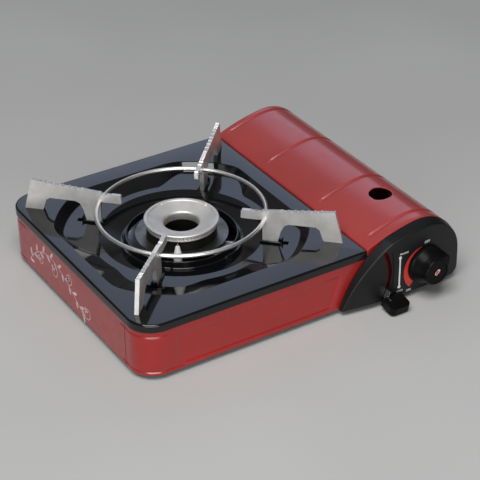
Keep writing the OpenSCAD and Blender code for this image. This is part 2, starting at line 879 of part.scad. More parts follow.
// Cam on the spindle that trips the igniter
module ignition_cam() {
    color([0.80, 0.78, 0.70]) placed() along_y(6, 11.5) difference() {
        union() {
            translate([valve_x, valve_z]) circle(6);
            translate([valve_x, valve_z]) rotate(-100) translate([0, -2.5]) square([11, 5]);
        }
        translate([valve_x, valve_z]) circle(spindle_r);
    }
}

knob_back = -13;
fin_angle = 45;
fin_r = 19.6;

// Knob: base disc, waisted body, dished face and one pointer fin
module knob() {
    rim_y = -knob_back;
    tip = -knob_front;
    color(black) placed() difference() {
        union() {
            translate([valve_x, 0, valve_z]) rotate([90, 0, 0]) rotate_extrude($fn = 120)
                polygon([[0, rim_y], [knob_r, rim_y], [knob_r, rim_y + 2.4],
                    [knob_r - 1, rim_y + 3.2], [17.4, 19.5], [15.4, 23], [14.2, 27],
                    [knob_face_r, tip - 0.8], [knob_face_r - 0.8, tip], [0, tip]]);
            along_y(knob_front + 0.6, knob_back - 2) translate([valve_x, valve_z])
                rotate(fin_angle) polygon([[5, -12], [fin_r, -1], [fin_r, 1], [5, 12]]);
        }
        // dish in the face
        rod_y(valve_x, valve_z, knob_face_r - 2.2, knob_front - 1, knob_front + 0.6);
        // D-shaped socket
        rod_y(valve_x, valve_z, 6, knob_back - 9, knob_back + 1);
        difference() {
            rod_y(valve_x, valve_z, spindle_r, -24, knob_back + 1);
            translate([valve_x - 4, -25, valve_z + 1.8]) cube([8, 12, 3]);
        }
        along_y(knob_front, knob_front + 2.2) insert_plan();
    }
}

// Outline of the pointer mark in the knob's face, in line with the fin
module insert_plan() {
    r = 2.6;
    reach = 2.9;
    translate([valve_x, valve_z]) rotate(fin_angle) {
        translate([-reach, -r]) square([2 * reach, 2 * r]);
        for (x = [-reach, reach]) translate([x, 0]) circle(r);
    }
}

module knob_insert() {
    color([0.75, 0.10, 0.10]) placed()
        along_y(knob_front + 0.2, knob_front + 2.2) insert_plan();
}

// Places a lever piece drawn with the lever level, about its stud
module at_lever() {
    placed() translate([lever_pivot.x, 0, lever_pivot.y]) rotate([0, -lever_rest, 0])
        children();
}

// Arm inside the front wall, with a tab bent forward through the panel
module lever_arm() {
    tab_y = -16;
    color(steel) at_lever() difference() {
        union() {
            along_y(lever_plate_y[0], lever_plate_y[1]) {
                circle(7);
                polygon([[0, -7], [20, -4], [44, -4], [lever_r + tab_t / 2, -tab_half],
                    [lever_r + tab_t / 2, tab_half], [44, 4], [20, 4], [0, 7]]);
            }
            along_y(tab_y, lever_plate_y[1]) translate([lever_r - tab_t / 2, -tab_half])
                square([tab_t, 2 * tab_half]);
            lever_tongue(tab_y + 1);
        }
        rod_y(0, 0, stud_r + 0.05, 0, 10);
    }
}

// Narrow end of the tab, inside the thumb cap
module lever_tongue(y1) {
    along_y(-21, y1) translate([lever_r - tab_t / 2, -tab_half]) square([tab_t, 2.6]);
}

// Thumb cap, sloping down to the front
module lever_cap() {
    color(black) difference() {
        placed() translate(cap_at) rotate([cap_tilt, 0, 0])
            translate([0, 0, -cap_size.z / 2]) linear_extrude(cap_size.z) cap_plan();
        at_lever() {
            lever_tongue(0);
            along_y(-16, 0) translate([lever_r - tab_t / 2, -tab_half])
                square([tab_t, 2 * tab_half]);
        }
    }
}

module cap_plan() {
    half = cap_size.x / 2;
    r = 5;
    translate([-half, r - cap_size.y]) square([2 * half, cap_size.y - r]);
    translate([r - half, -cap_size.y]) square([2 * (half - r), r]);
    for (x = [r - half, half - r]) translate([x, r - cap_size.y]) circle(r);
}

// Crank on the arm, with the radial pin that drives the slide's cam plate
module lever_crank() {
    color(zinc) at_lever() {
        translate([crank_r - 4, lever_plate_y[1], -2.8])
            cube([7, crank_pin_y + 2.5 - lever_plate_y[1], 5.6]);
        rod_x(crank_pin_y, 0, crank_pin_r, crank_r, crank_r + 11.5);
    }
}

// Shouldered stud, welded inside the front wall, that the lever turns on
module lever_stud() {
    color(steel) placed() {
        rod_y(lever_pivot.x, lever_pivot.y, stud_r, 2, 9);
        rod_y(lever_pivot.x, lever_pivot.y, stud_r + 2, 2, lever_plate_y[0] - 0.1);
    }
}

module lever_clip() {
    color(brass) placed() difference() {
        rod_y(lever_pivot.x, lever_pivot.y, stud_r + 2.5, lever_plate_y[1] + 0.2, 7);
        rod_y(lever_pivot.x, lever_pivot.y, stud_r, 0, 9);
        translate([lever_pivot.x - 1, 0, lever_pivot.y - 8]) cube([2, 9, 8]);
    }
}

// -------------------------------------------------------------------- bay

// Sliding plate: cam plate on the left, fork round the cartridge's neck
module cartridge_slide() {
    z0 = 1.2;
    slot_r = 2.15;
    low = [crank_pin_y, lever_pivot.y - crank_cross];
    high = [crank_pin_y - slide_travel, lever_pivot.y + crank_cross];
    fork_y = inlet_y + 5;
    plate_y = crank_pin_y - 11.4;
    color(steel) placed() {
        difference() {
            translate([slide_plate_x, plate_y, z0]) cube([1.5, 16, 47]);
            cam_slot(low, high, slot_r);
        }
        translate([slide_plate_x, plate_y, z0]) cube([52, 16, sheet]);
        translate([264, plate_y, z0]) cube([34, fork_y + 1 - plate_y, sheet]);
        translate([270, fork_y, z0]) cube([64, 62, sheet]);
        difference() {
            along_y(fork_y, fork_y + 1.5) translate([274, z0]) square([56, 40]);
            rod_y(cartridge_x, cartridge_z, 16, fork_y - 1, fork_y + 3);
            translate([cartridge_x - 16, fork_y - 1, cartridge_z]) cube([32, 4, 20]);
        }
    }
}

// Slanted slot between two points of the (y, z) plane
module cam_slot(a, b, r) {
    d = b - a;
    run = norm(d);
    translate([slide_plate_x - 1, a.x, a.y]) rotate([atan2(d.y, d.x), 0, 0]) {
        for (s = [0, run]) translate([0, s, 0]) rotate([0, 90, 0]) cylinder(r = r, h = 4);
        translate([0, 0, -r]) cube([4, run, 2 * r]);
    }
}

// Tray with a rounded seat for the cartridge
module cartridge_cradle() {
    seat_r = cartridge_d / 2 + 0.3;
    y0 = 133;
    y1 = 262;
    color(zinc) placed() {
        for (y = [y0, (y0 + y1) / 2 - 3, y1 - 6]) along_y(y, y + 6) difference() {
            translate([272, sheet]) square([60, 15]);
            translate([cartridge_x, cartridge_z]) circle(seat_r);
        }
        for (x = [272, 330]) translate([x, y0, sheet]) cube([2, y1 - y0, 6]);
    }
}

// Lid: one rolled sheet with four pressed grooves and a round sight hole
module lid() {
    end = 0.6;
    color(red) placed() difference() {
        union() {
            along_y(end, body_d - end) lid_skin(0, sheet);
            for (y = groove_y) along_y(y - groove_w / 2 - sheet, y + groove_w / 2 + sheet)
                groove_band() lid_skin(-sheet / 2, sheet / 2 + groove_depth);
        }
        for (y = groove_y) along_y(y - groove_w / 2, y + groove_w / 2)
            groove_band() difference() {
                bay_outline(3, left = 0);
                bay_outline(-groove_depth, left = 0);
            }
        translate([lid_hole.x, lid_hole.y, 40]) cylinder(r = lid_hole_r, h = 60);
        for (y = hinge_y) translate([hinge_axis.x - 4, y - 13, 10]) cube([8, 26, 6.4]);
    }
}

// Cross-section of the lid between two depths below its outer face
module lid_skin(outer, t) {
    left = bay_x + lid_gap;
    difference() {
        bay_outline(outer, left = left);
        bay_outline(outer - t, left = left + sheet);
        translate([300, -1]) square([100, lid_low + 1]);
        translate([0, -1]) square([300, deck_z - lid_lip + 1]);
    }
}

// Part of the lid that the grooves cross, from the left rim to the straight side
module groove_band() {
    intersection() {
        children();
        translate([groove_x, crown_c.y]) square([body_w, deck_z]);
    }
}

module lid_hinge_leaves() {
    color(steel) placed() for (y = hinge_y) {
        for (s = [-11, 5]) translate([0, y + s, 0]) difference() {
            union() {
                rod_y(hinge_axis.x, hinge_axis.y, eye_r, 0, 6);
                translate([hinge_axis.x - sheet, 0, hinge_axis.y + 1]) cube([sheet, 6, 11.4]);
            }
            rod_y(hinge_axis.x, hinge_axis.y, pin_r + eye_clear, -1, 7);
        }
        translate([hinge_axis.x - sheet, y - 11, hinge_axis.y + 5]) cube([sheet, 22, 7.4]);
    }
}

module base_hinge_leaves() {
    x = pan_side_x - 2 * sheet;
    color(steel) placed() for (y = hinge_y) {
        translate([0, y - 4.6, 0]) difference() {
            union() {
                rod_y(hinge_axis.x, hinge_axis.y, eye_r, 0, 9.2);
                translate([x, 0, 4]) cube([sheet, 9.2, hinge_axis.y - 4]);
                translate([x, 0, hinge_axis.y - 2.2]) cube([2, 9.2, sheet]);
            }
            rod_y(hinge_axis.x, hinge_axis.y, pin_r, -1, 11);
        }
        translate([x, y - 11, 4]) cube([sheet, 22, 5]);
    }
}

module hinge_pins() {
    color(steel) placed() for (y = hinge_y)
        rod_y(hinge_axis.x, hinge_axis.y, pin_r, y - 12, y + 12);
}

// -------------------------------------------------------------------- feet

module foot(x, y) {
    color(rubber) translate([x - origin_x, y - origin_y, 0]) rotate_extrude($fn = 64)
        polygon([[0, 0], [6.6, 0], [7.4, 0.8], [8.6, foot_h], [0, foot_h]]);
}

module foot_front_left() { foot(34, 34); }
module foot_front_right() { foot(318, 34); }
module foot_rear_left() { foot(34, body_d - 34); }
module foot_rear_right() { foot(318, body_d - 34); }

// ------------------------------------------------------------- pan support

module trivet_ring() {
    color(steel) at_centre() translate([0, 0, ring_z]) rotate_extrude($fn = 180)
        translate([ring_r, 0]) circle(wire_d / 2, $fn = 32);
}

// Toothed arm in (radius, height): finger, column, arch and outer foot
module arm_outline() {
    tip = [60, 79.5];
    top = [149, 87.4];
    slope = (top.y - 80.6) / (top.x - 79);
    difference() {
        polygon([[58.6, 71.6], [60, 70.7], [79.8, 70.7], [79.8, well_z], [94.6, well_z],
            [95.4, 52], [97.4, 60], [100.6, 66.6], [105, 68.8], [131, 69],
            [134.6, 66.5], [136, 62], [138.5, deck_z], [157, deck_z], [149, 87.4],
            [79, 80.6], [70, 79.6], tip, [59.2, 78.6]]);
        // notch for the wire ring
        translate([ring_r, ring_z]) circle(wire_d / 2 + 0.05, $fn = 32);
        teeth(68.2, 2, 5.4, scallop_depth, 79.8, 0.02);
        teeth(80, 8, 2.1, 0.6, 80.9, slope);
        teeth(98.2, 6, 6.2, scallop_depth, 82.6, slope);
        teeth(136.6, 4, 2.9, 0.8, 86.4, slope);
    }
}

// Row of n round scallops that starts at radius r0 and height z0
module teeth(r0, n, pitch, depth, z0, slope) {
    cutter = (pitch * pitch / 4 + depth * depth) / (2 * depth);
    for (i = [0 : n - 1]) {
        r = r0 + (i + 0.5) * pitch;
        translate([r, z0 + slope * (r - r0) + cutter - depth]) circle(cutter * 0.98, $fn = 32);
    }
}

module trivet_arm(angle) {
    color(steel) at_centre() rotate([0, 0, angle]) along_y(-arm_t / 2, arm_t / 2) arm_outline();
}

module trivet_arm_front() { trivet_arm(225); }
module trivet_arm_right() { trivet_arm(315); }
module trivet_arm_rear() { trivet_arm(45); }
module trivet_arm_left() { trivet_arm(135); }

base_pan();
side_wall();
front_wall();
rear_wall();
top_plate();
partition();
burner_body();
flame_ring();
burner_cap();
burner_flange();
burner_bracket();
mixing_tube();
air_shutter();
gas_nozzle();
gas_pipe();
regulator_body();
regulator_cover();
regulator_screws();
cartridge_inlet();
inlet_seal();
collar_guide();
piezo_igniter();
igniter_lead();
electrode_ceramic();
electrode_wire();
electrode_bracket();
control_panel();
panel_screws();
valve_spindle();
ignition_cam();
knob();
knob_insert();
lever_arm();
lever_cap();
lever_stud();
lever_crank();
lever_clip();
cartridge_slide();
cartridge_cradle();
lid();
lid_hinge_leaves();
base_hinge_leaves();
hinge_pins();
foot_front_left();
foot_front_right();
foot_rear_left();
foot_rear_right();
trivet_ring();
trivet_arm_front();
trivet_arm_right();
trivet_arm_rear();
trivet_arm_left();
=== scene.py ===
import json
import math
import bpy
import bmesh
import numpy as np
from contextlib import contextmanager
from mathutils import Matrix, Vector


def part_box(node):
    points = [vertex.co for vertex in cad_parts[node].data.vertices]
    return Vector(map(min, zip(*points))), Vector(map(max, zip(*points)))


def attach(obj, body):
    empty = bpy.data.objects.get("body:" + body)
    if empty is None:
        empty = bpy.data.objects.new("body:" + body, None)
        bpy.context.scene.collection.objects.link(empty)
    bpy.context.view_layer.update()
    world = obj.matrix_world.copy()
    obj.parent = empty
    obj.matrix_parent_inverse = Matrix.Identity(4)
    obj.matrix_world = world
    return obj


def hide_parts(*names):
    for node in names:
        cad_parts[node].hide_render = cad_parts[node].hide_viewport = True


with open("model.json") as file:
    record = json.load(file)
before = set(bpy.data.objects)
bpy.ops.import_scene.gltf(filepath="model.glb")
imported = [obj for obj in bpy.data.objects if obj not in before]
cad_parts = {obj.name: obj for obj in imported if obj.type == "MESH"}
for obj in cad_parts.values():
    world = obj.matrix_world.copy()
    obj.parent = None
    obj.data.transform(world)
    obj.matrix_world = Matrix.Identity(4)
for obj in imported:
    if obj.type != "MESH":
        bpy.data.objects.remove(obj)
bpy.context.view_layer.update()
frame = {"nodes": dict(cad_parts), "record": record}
NODES = frame["nodes"]
MM = 0.001

# Body corner: deck's left edge, front edge of the deck, underside of the pan
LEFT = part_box("top_plate")[0].x
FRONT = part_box("top_plate")[0].y
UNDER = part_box("base_pan")[0].z

# Sizes of the stove's body, in millimetres from the body corner
BODY_W = 347.0
BODY_D = 270.0
DECK_W = 242.0
DECK_Z = 55.0
CORNER_R = 25.0
SHEET = 1.0
CENTRE = (121.0, 136.0)
CROWN = (302.0, 26.0)
CROWN_R = 45.0
FLANK_R = 200.0
FLANK_TILT = math.radians(8)
FLANK = (CROWN[0] + (FLANK_R - CROWN_R) * math.sin(FLANK_TILT),
         CROWN[1] - (FLANK_R - CROWN_R) * math.cos(FLANK_TILT))
FLANK_END = CROWN[0] - CROWN_R * math.sin(FLANK_TILT)
VALVE = (302.4, 27.0)


def place(x, y, z):
    """Millimetres from the body corner to a point of the frame."""
    return Vector((LEFT + x * MM, FRONT + y * MM, UNDER + z * MM))


def eased(low, high, value):
    """Smooth step from 0 at low to 1 at high; low may be the larger."""
    t = min(1.0, max(0.0, (value - low) / (high - low)))
    return t * t * (3 - 2 * t)


def linked(name, data):
    """A new object in the scene that holds some data."""
    obj = bpy.data.objects.new(name, data)
    bpy.context.scene.collection.objects.link(obj)
    return obj


# ------------------------------------------------------------------ camera

# Azimuth, elevation and roll in degrees, distance in metres, lens in millimetres and
# the point it looks at, in millimetres from the body corner
CAMERA_ANGLES = (-31.73, 32.0, -0.58)
CAMERA_DISTANCE = 1.6085
CAMERA_LENS = 125.53
CAMERA_AIM = (166.0, 102.54, 39.27)


def stand_camera():
    """Camera that stands back from the stove along its line of sight."""
    azimuth, elevation, roll = (math.radians(a) for a in CAMERA_ANGLES)
    back = Vector((math.sin(azimuth) * math.cos(elevation),
                   -math.cos(azimuth) * math.cos(elevation), math.sin(elevation)))
    right = Vector((math.cos(azimuth), math.sin(azimuth), 0))
    up = back.cross(right)
    level = right * math.cos(roll) + up * math.sin(roll)
    upright = up * math.cos(roll) - right * math.sin(roll)
    data = bpy.data.cameras.new("stove_camera")
    data.sensor_width = 36
    data.lens = CAMERA_LENS
    data.clip_end = 20
    camera = linked("stove_camera", data)
    turn = Matrix((level, upright, back)).transposed().to_4x4()
    spot = place(*CAMERA_AIM) + back * CAMERA_DISTANCE
    camera.matrix_world = Matrix.Translation(spot) @ turn
    bpy.context.scene.camera = camera


# --------------------------------------------------------------- materials

def noise(tree, coords, size_mm, detail):
    """Noise whose features measure about size_mm."""
    node = tree.nodes.new("ShaderNodeTexNoise")
    node.inputs["Scale"].default_value = 1 / (size_mm * MM)
    node.inputs["Detail"].default_value = detail
    tree.links.new(coords, node.inputs["Vector"])
    return node.outputs["Fac"]


def ranged(tree, value, low, high):
    """Maps the middle of a noise value's spread to the range low..high."""
    node = tree.nodes.new("ShaderNodeMapRange")
    node.inputs["From Min"].default_value = 0.35
    node.inputs["From Max"].default_value = 0.65
    node.inputs["To Min"].default_value = low
    node.inputs["To Max"].default_value = high
    tree.links.new(value, node.inputs["Value"])
    return node.outputs["Result"]


def mixed(tree, factor, first, second):
    """Colour between two others."""
    node = tree.nodes.new("ShaderNodeMix")
    node.data_type = "RGBA"
    node.inputs["A"].default_value = (*first, 1)
    node.inputs["B"].default_value = (*second, 1)
    tree.links.new(factor, node.inputs["Factor"])
    return node.outputs["Result"]


def bumped(tree, principled, height, strength, depth_mm):
    """Gives a shader's surface a relief that follows a noise value."""
    node = tree.nodes.new("ShaderNodeBump")
    node.inputs["Strength"].default_value = strength
    node.inputs["Distance"].default_value = depth_mm * MM
    tree.links.new(height, node.inputs["Height"])
    tree.links.new(node.outputs["Normal"], principled.inputs["Normal"])


def roughened(tree, principled, value, rough):
    """Lets a shader's roughness follow a noise value."""
    tree.links.new(ranged(tree, value, *rough), principled.inputs["Roughness"])


# Finishes by name; Blender's own name for one may differ, as the frame has its own
M = {}


def drifting(name, dark, light, size_mm, detail):
    """Adds a finish whose colour drifts between two over about size_mm, and gives its
    tree, Principled shader and Object coordinates."""
    M[name] = bpy.data.materials.new(name)
    M[name].use_nodes = True
    tree = M[name].node_tree
    principled = tree.nodes["Principled BSDF"]
    coords = tree.nodes.new("ShaderNodeTexCoord").outputs["Object"]
    drift = ranged(tree, noise(tree, coords, size_mm, detail), 0, 1)
    tree.links.new(mixed(tree, drift, dark, light), principled.inputs["Base Color"])
    return tree, principled, coords


def painted(name, dark, light, rough, coat=0.0, coat_rough=0.04, peel=0.01):
    """Sprayed or enamelled sheet: slow colour drift and a fine orange peel."""
    tree, principled, coords = drifting(name, dark, light, 45, 2)
    roughened(tree, principled, noise(tree, coords, 9, 4), rough)
    principled.inputs["Coat Weight"].default_value = coat
    principled.inputs["Coat Roughness"].default_value = coat_rough
    bumped(tree, principled, noise(tree, coords, 2.4, 1), 0.2, peel)


def metal(name, dark, light, rough, grain_mm, depth, metallic=1.0):
    """Bare or plated metal with slow stains and a fine grain."""
    tree, principled, coords = drifting(name, dark, light, 14, 4)
    principled.inputs["Metallic"].default_value = metallic
    grain = noise(tree, coords, grain_mm, 4)
    roughened(tree, principled, grain, rough)
    bumped(tree, principled, grain, 0.4, depth)


def moulded(name, dark, light, rough, grain_mm=0.6, depth=0.02, gloss=0.5):
    """Moulded plastic, rubber or glaze with a fine surface grain."""
    tree, principled, coords = drifting(name, dark, light, 20, 3)
    principled.inputs["Specular IOR Level"].default_value = gloss
    grain = noise(tree, coords, grain_mm, 2)
    roughened(tree, principled, grain, rough)
    bumped(tree, principled, grain, 0.3, depth)


# Darker and lighter colour, range of roughness, then grain and relief in millimetres
painted("red_paint", (0.28, 0.006, 0.006), (0.31, 0.008, 0.007), (0.28, 0.38), coat=0.5)
# Lid: the walls' red paint made paler, a painted reflection standing in for the light wash the
# lid's top catches
painted("lid_paint_painted_reflection", (0.36, 0.036, 0.034), (0.39, 0.042, 0.039), (0.34, 0.44),
        coat=0.7, coat_rough=0.12)
painted("black_enamel", (0.0030, 0.0032, 0.0038), (0.0044, 0.0047, 0.0056), (0.06, 0.11),
        peel=0.006)
moulded("black_plastic", (0.0050, 0.0052, 0.0056), (0.0080, 0.0084, 0.0090), (0.34, 0.44),
        gloss=0.30)
moulded("knob_plastic", (0.0030, 0.0031, 0.0033), (0.0050, 0.0052, 0.0055), (0.28, 0.38),
        gloss=0.10)
moulded("black_rubber", (0.015, 0.015, 0.015), (0.025, 0.025, 0.024), (0.65, 0.8), 0.9, 0.05)
metal("galvanised", (0.45, 0.46, 0.47), (0.62, 0.63, 0.64), (0.28, 0.45), 5, 0.01)
metal("plated_steel", (0.66, 0.65, 0.63), (0.80, 0.79, 0.77), (0.38, 0.52), 0.8, 0.12,
      metallic=0.75)
metal("ring_wire", (0.82, 0.80, 0.76), (0.92, 0.90, 0.86), (0.30, 0.40), 1.5, 0.01)
metal("bright_steel", (0.50, 0.50, 0.48), (0.62, 0.62, 0.60), (0.24, 0.36), 1.2, 0.01)
# Flange: a darker copy of the steel, painted shade for the dark reflections on it
metal("flange_steel_painted_shade", (0.16, 0.16, 0.155), (0.26, 0.26, 0.25), (0.34, 0.48), 1.2, 0.01)
moulded("dark_casting", (0.004, 0.004, 0.004), (0.009, 0.009, 0.008), (0.32, 0.46),
        1.1, 0.06, gloss=0.1)
metal("cap_alloy", (0.80, 0.78, 0.75), (0.90, 0.88, 0.85), (0.52, 0.64), 0.5, 0.03)
metal("zinc_alloy", (0.44, 0.45, 0.46), (0.54, 0.55, 0.56), (0.38, 0.5), 1.0, 0.04)
metal("brass", (0.60, 0.42, 0.16), (0.72, 0.54, 0.24), (0.22, 0.34), 1.0, 0.01)
moulded("white_ceramic", (0.72, 0.72, 0.69), (0.80, 0.80, 0.77), (0.15, 0.25), 1.2, 0.01)
moulded("white_plastic", (0.60, 0.58, 0.52), (0.68, 0.66, 0.60), (0.4, 0.5))
moulded("blue_plastic", (0.03, 0.05, 0.14), (0.05, 0.07, 0.18), (0.4, 0.5))
moulded("lead_sleeve", (0.58, 0.58, 0.55), (0.66, 0.66, 0.63), (0.35, 0.45), 1.5)
moulded("white_print", (0.60, 0.60, 0.60), (0.68, 0.68, 0.68), (0.40, 0.50), 1.0, 0.005)
moulded("red_print", (0.46, 0.022, 0.016), (0.52, 0.028, 0.021), (0.35, 0.45), 1.0, 0.005)
moulded("sprig_print", (0.62, 0.42, 0.44), (0.74, 0.54, 0.56), (0.35, 0.45), 1.0, 0.005)


# ------------------------------------------------------------ mesh helpers

def shaded(mesh, angle=32):
    """Shades a mesh smooth, but for the edges that turn by more than an angle."""
    mesh.shade_smooth()
    mesh.set_sharp_from_angle(angle=math.radians(angle))


def piece(name, mesh, material, body, stands_for=(), angle=32):
    """Links a finished mesh, in frame metres, as one piece of the stove."""
    if angle:
        shaded(mesh, angle)
    mesh.materials.clear()
    mesh.materials.append(M[material])
    obj = linked(name, mesh)
    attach(obj, body)
    if stands_for:
        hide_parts(*stands_for)


@contextmanager
def edited(mesh):
    """Opens a mesh as an editable form and writes it back."""
    form = bmesh.new()
    form.from_mesh(mesh)
    yield form
    form.to_mesh(mesh)
    form.free()


def mesh_of(name, points, faces, outward=True):
    """Mesh from points in millimetres from the body corner."""
    mesh = bpy.data.meshes.new(name)
    mesh.from_pydata([place(*p) for p in points], [], faces)
    with edited(mesh) as form:
        bmesh.ops.remove_doubles(form, verts=form.verts, dist=0.002 * MM)
        if outward:
            bmesh.ops.recalc_face_normals(form, faces=form.faces)
    return mesh


def faced(mesh, toward):
    """Turns every face of a flat print to the side it is seen from."""
    with edited(mesh) as form:
        for face in form.faces:
            face.normal_update()
            if face.normal.dot(toward) < 0:
                face.normal_flip()


def joined(name, *meshes):
    """One mesh made of several."""
    form = bmesh.new()
    for mesh in meshes:
        form.from_mesh(mesh)
    result = bpy.data.meshes.new(name)
    form.to_mesh(result)
    form.free()
    return result


def grid_faces(rows, cols, wrap_rows=False, wrap_cols=False):
    """Four-sided faces between points that are listed row by row."""
    faces = []
    for i in range(rows if wrap_rows else rows - 1):
        for j in range(cols if wrap_cols else cols - 1):
            a, b = i * cols + j, i * cols + (j + 1) % cols
            c, d = (i + 1) % rows * cols + (j + 1) % cols, (i + 1) % rows * cols + j
            faces.append((a, b, c, d))
    return faces


def evaluated(holder):
    """Plain mesh of an object with its modifiers, which is then removed."""
    bpy.context.view_layer.update()
    graph = bpy.context.evaluated_depsgraph_get()
    result = bpy.data.meshes.new_from_object(holder.evaluated_get(graph))
    bpy.data.objects.remove(holder)
    return result


def with_modifier(mesh, kind, **settings):
    """Applies one modifier to a mesh and returns the new mesh."""
    holder = linked("holder", mesh)
    modifier = holder.modifiers.new(kind.lower(), kind)
    for key, value in settings.items():
        setattr(modifier, key, value)
    return evaluated(holder)


def softened(mesh, width, segments=2, angle=35):
    """Rounds the edges of a mesh that turn by more than an angle."""
    return with_modifier(mesh, "BEVEL", width=width * MM, segments=segments,
                         limit_method="ANGLE", angle_limit=math.radians(angle),
                         harden_normals=False)


def flat_faced(mesh):
    """Gives a softened mesh normals that keep its large faces flat."""
    shaded(mesh, 50)
    return with_modifier(mesh, "WEIGHTED_NORMAL", mode="FACE_AREA", weight=100, keep_sharp=True)


def cut(mesh, cutter):
    """Takes a closed cutter mesh out of a mesh."""
    tool = linked("cutter", cutter)
    result = with_modifier(mesh, "BOOLEAN", operation="DIFFERENCE", solver="MANIFOLD",
                           object=tool)
    bpy.data.objects.remove(tool)
    return result


def rounded(points, radii, steps=5):
    """Polyline with an arc of a few steps in place of each inner corner."""
    out = [np.array(points[0], float)]
    for i in range(1, len(points) - 1):
        a, b, c = (np.array(points[k], float) for k in (i - 1, i, i + 1))
        u, v = (a - b), (c - b)
        lu, lv = np.linalg.norm(u), np.linalg.norm(v)
        u, v = u / lu, v / lv
        half = 0.5 * math.acos(max(-1, min(1, float(np.dot(u, v)))))
        reach = min(radii[i - 1] / math.tan(half), 0.48 * lu, 0.48 * lv)
        radius = reach * math.tan(half)
        start, end = b + u * reach, b + v * reach
        hub = b + (u + v) / np.linalg.norm(u + v) * radius / math.sin(half)
        for k in range(steps + 1):
            t = k / steps
            p = (start - hub) * (1 - t) + (end - hub) * t
            out.append(hub + p / np.linalg.norm(p) * radius)
    out.append(np.array(points[-1], float))
    return out


def rod(start, end, radius, sides=64):
    """Closed cylinder mesh from start to end, in millimetres from the body corner."""
    a, b = place(*start), place(*end)
    mesh = bpy.data.meshes.new("rod")
    turn = Vector((0, 0, 1)).rotation_difference(b - a).to_matrix().to_4x4()
    with edited(mesh) as form:
        bmesh.ops.create_cone(form, cap_ends=True, segments=sides, radius1=radius * MM,
                              radius2=radius * MM, depth=(b - a).length,
                              matrix=Matrix.Translation((a + b) / 2) @ turn)
    return mesh


def bars(name, *blocks):
    """Bars on the burner's diagonals: each block is (angle, low corner, high corner),
    measured outward, across and up from the burner's centre."""
    sides = ((0, 1, 3, 2), (4, 6, 7, 5), (0, 4, 5, 1), (2, 3, 7, 6), (0, 2, 6, 4), (1, 5, 7, 3))
    points, faces = [], []
    for angle, low, high in blocks:
        c, s = math.cos(math.radians(angle)), math.sin(math.radians(angle))
        faces += [[len(points) + k for k in side] for side in sides]
        for r in (low[0], high[0]):
            for t in (low[1], high[1]):
                for z in (low[2], high[2]):
                    points.append((CENTRE[0] + r * c - t * s, CENTRE[1] + r * s + t * c, z))
    return mesh_of(name, points, faces)


def from_cad(node):
    """Copy of a CAD node's mesh, merged into whole faces."""
    mesh = NODES[node].data.copy()
    with edited(mesh) as form:
        bmesh.ops.remove_doubles(form, verts=form.verts, dist=0.001 * MM)
        bmesh.ops.dissolve_limit(form, angle_limit=math.radians(0.3), verts=form.verts,
                                 edges=form.edges)
    return mesh


# ----------------------------------------------------------- geometry nodes

def node_tree(name, sizes):
    """Geometry Nodes tree with named sizes: the tree, its inputs and a node maker."""
    group = bpy.data.node_groups.new(name, "GeometryNodeTree")
    group.interface.new_socket("Geometry", in_out="INPUT", socket_type="NodeSocketGeometry")
    group.interface.new_socket("Geometry", in_out="OUTPUT", socket_type="NodeSocketGeometry")
    for label, value in sizes.items():
        kind = "NodeSocketInt" if isinstance(value, int) else "NodeSocketFloat"
        group.interface.new_socket(label, in_out="INPUT", socket_type=kind)

    def add(kind, links=None, **settings):
        node = group.nodes.new(kind)
        for key, value in settings.items():
            setattr(node, key, value)
        for socket, value in (links or {}).items():
            if isinstance(value, bpy.types.NodeSocket):
                group.links.new(value, node.inputs[socket])
            else:
                node.inputs[socket].default_value = value
        return node

    return group, add("NodeGroupInput").outputs, add


def circle(add, count, radius):
    """Round curve of so many points in a tree."""
    return add("GeometryNodeCurvePrimitiveCircle",
               {"Resolution": count, "Radius": radius}).outputs["Curve"]


def finish_tree(group, add, geometry, material):
    """Ends a tree in Realize Instances and Set Material."""
    real = add("GeometryNodeRealizeInstances", {"Geometry": geometry}).outputs["Geometry"]
    done = add("GeometryNodeSetMaterial", {"Geometry": real})
    done.inputs["Material"].default_value = M[material]
    add("NodeGroupOutput", {"Geometry": done.outputs["Geometry"]})


def grown(group, sizes, mesh=None):
    """Plain mesh that a tree makes from its sizes and an input mesh."""
    holder = linked(group.name, mesh or bpy.data.meshes.new(group.name))
    modifier = holder.modifiers.new(group.name, "NODES")
    modifier.node_group = group
    for item in group.interface.items_tree:
        if item.in_out == "INPUT" and item.name in sizes:
            modifier[item.identifier] = sizes[item.name]
    return evaluated(holder)


# -------------------------------------------------------------------- deck

# Pressed well: limits of its top edge across and from front to rear, radius of its
# corners about the burner, and how softly its sides blend
WELL_X = (13.5, 224.5)
WELL_Y = (27.0, 247.0)
WELL_R = 122.5
WELL_BLEND = 2.2
# Foot of the well's slope: its reach, how much further the flat lobes go (less at the
# front left), and how far from a diagonal they start and end to fade (later at the left)
SLOPE_FOOT = 88.0
LOBE, LOBE_FRONT_LEFT = 26.0, 9.0
LOBE_FULL, LOBE_END, LOBE_END_LEFT = 12.0, 31.0, 46.0
# Section from the collar's foot to the dish's rim, as distance from the burner's centre
# and height; then the corner radii of the deck's whole section
COLLAR_AND_DISH = ((53, 39.4), (53, 46.5), (54.5, 46.5), (55.6, 40), (58.5, 40), (79.5, 47))
SECTION_RADII = (0.5, 0.5, 1.6, 3.0, 1.2, 2.6, 2.2, 2.2)
SECTION_GAP = 6.0
WELL_FLOOR = 47.0
SKIRT_FOOT = 47.0
DECK_SHEET = 0.9
# Slots for the pan support's arms, and the ridges that seat them, as blocks for bars()
DIAGONALS = (45, 135, 225, 315)
ARM_SLOT = ((99.4, -3, 44), (104.6, 3, 50))
ARM_SEATS = (((98.2, -3, 46.3), (99.2, 3, 52)),
             ((77.5, 2.7, 46.2), (98.2, 4.3, 49.2)),
             ((77.5, -4.3, 46.2), (98.2, -2.7, 49.2)))


def nearest_of(reaches, blend):
    """Soft minimum: the nearest of several reaches, with their corners rounded."""
    return -blend * math.log(sum(math.exp(-min(r, 600) / blend) for r in reaches))


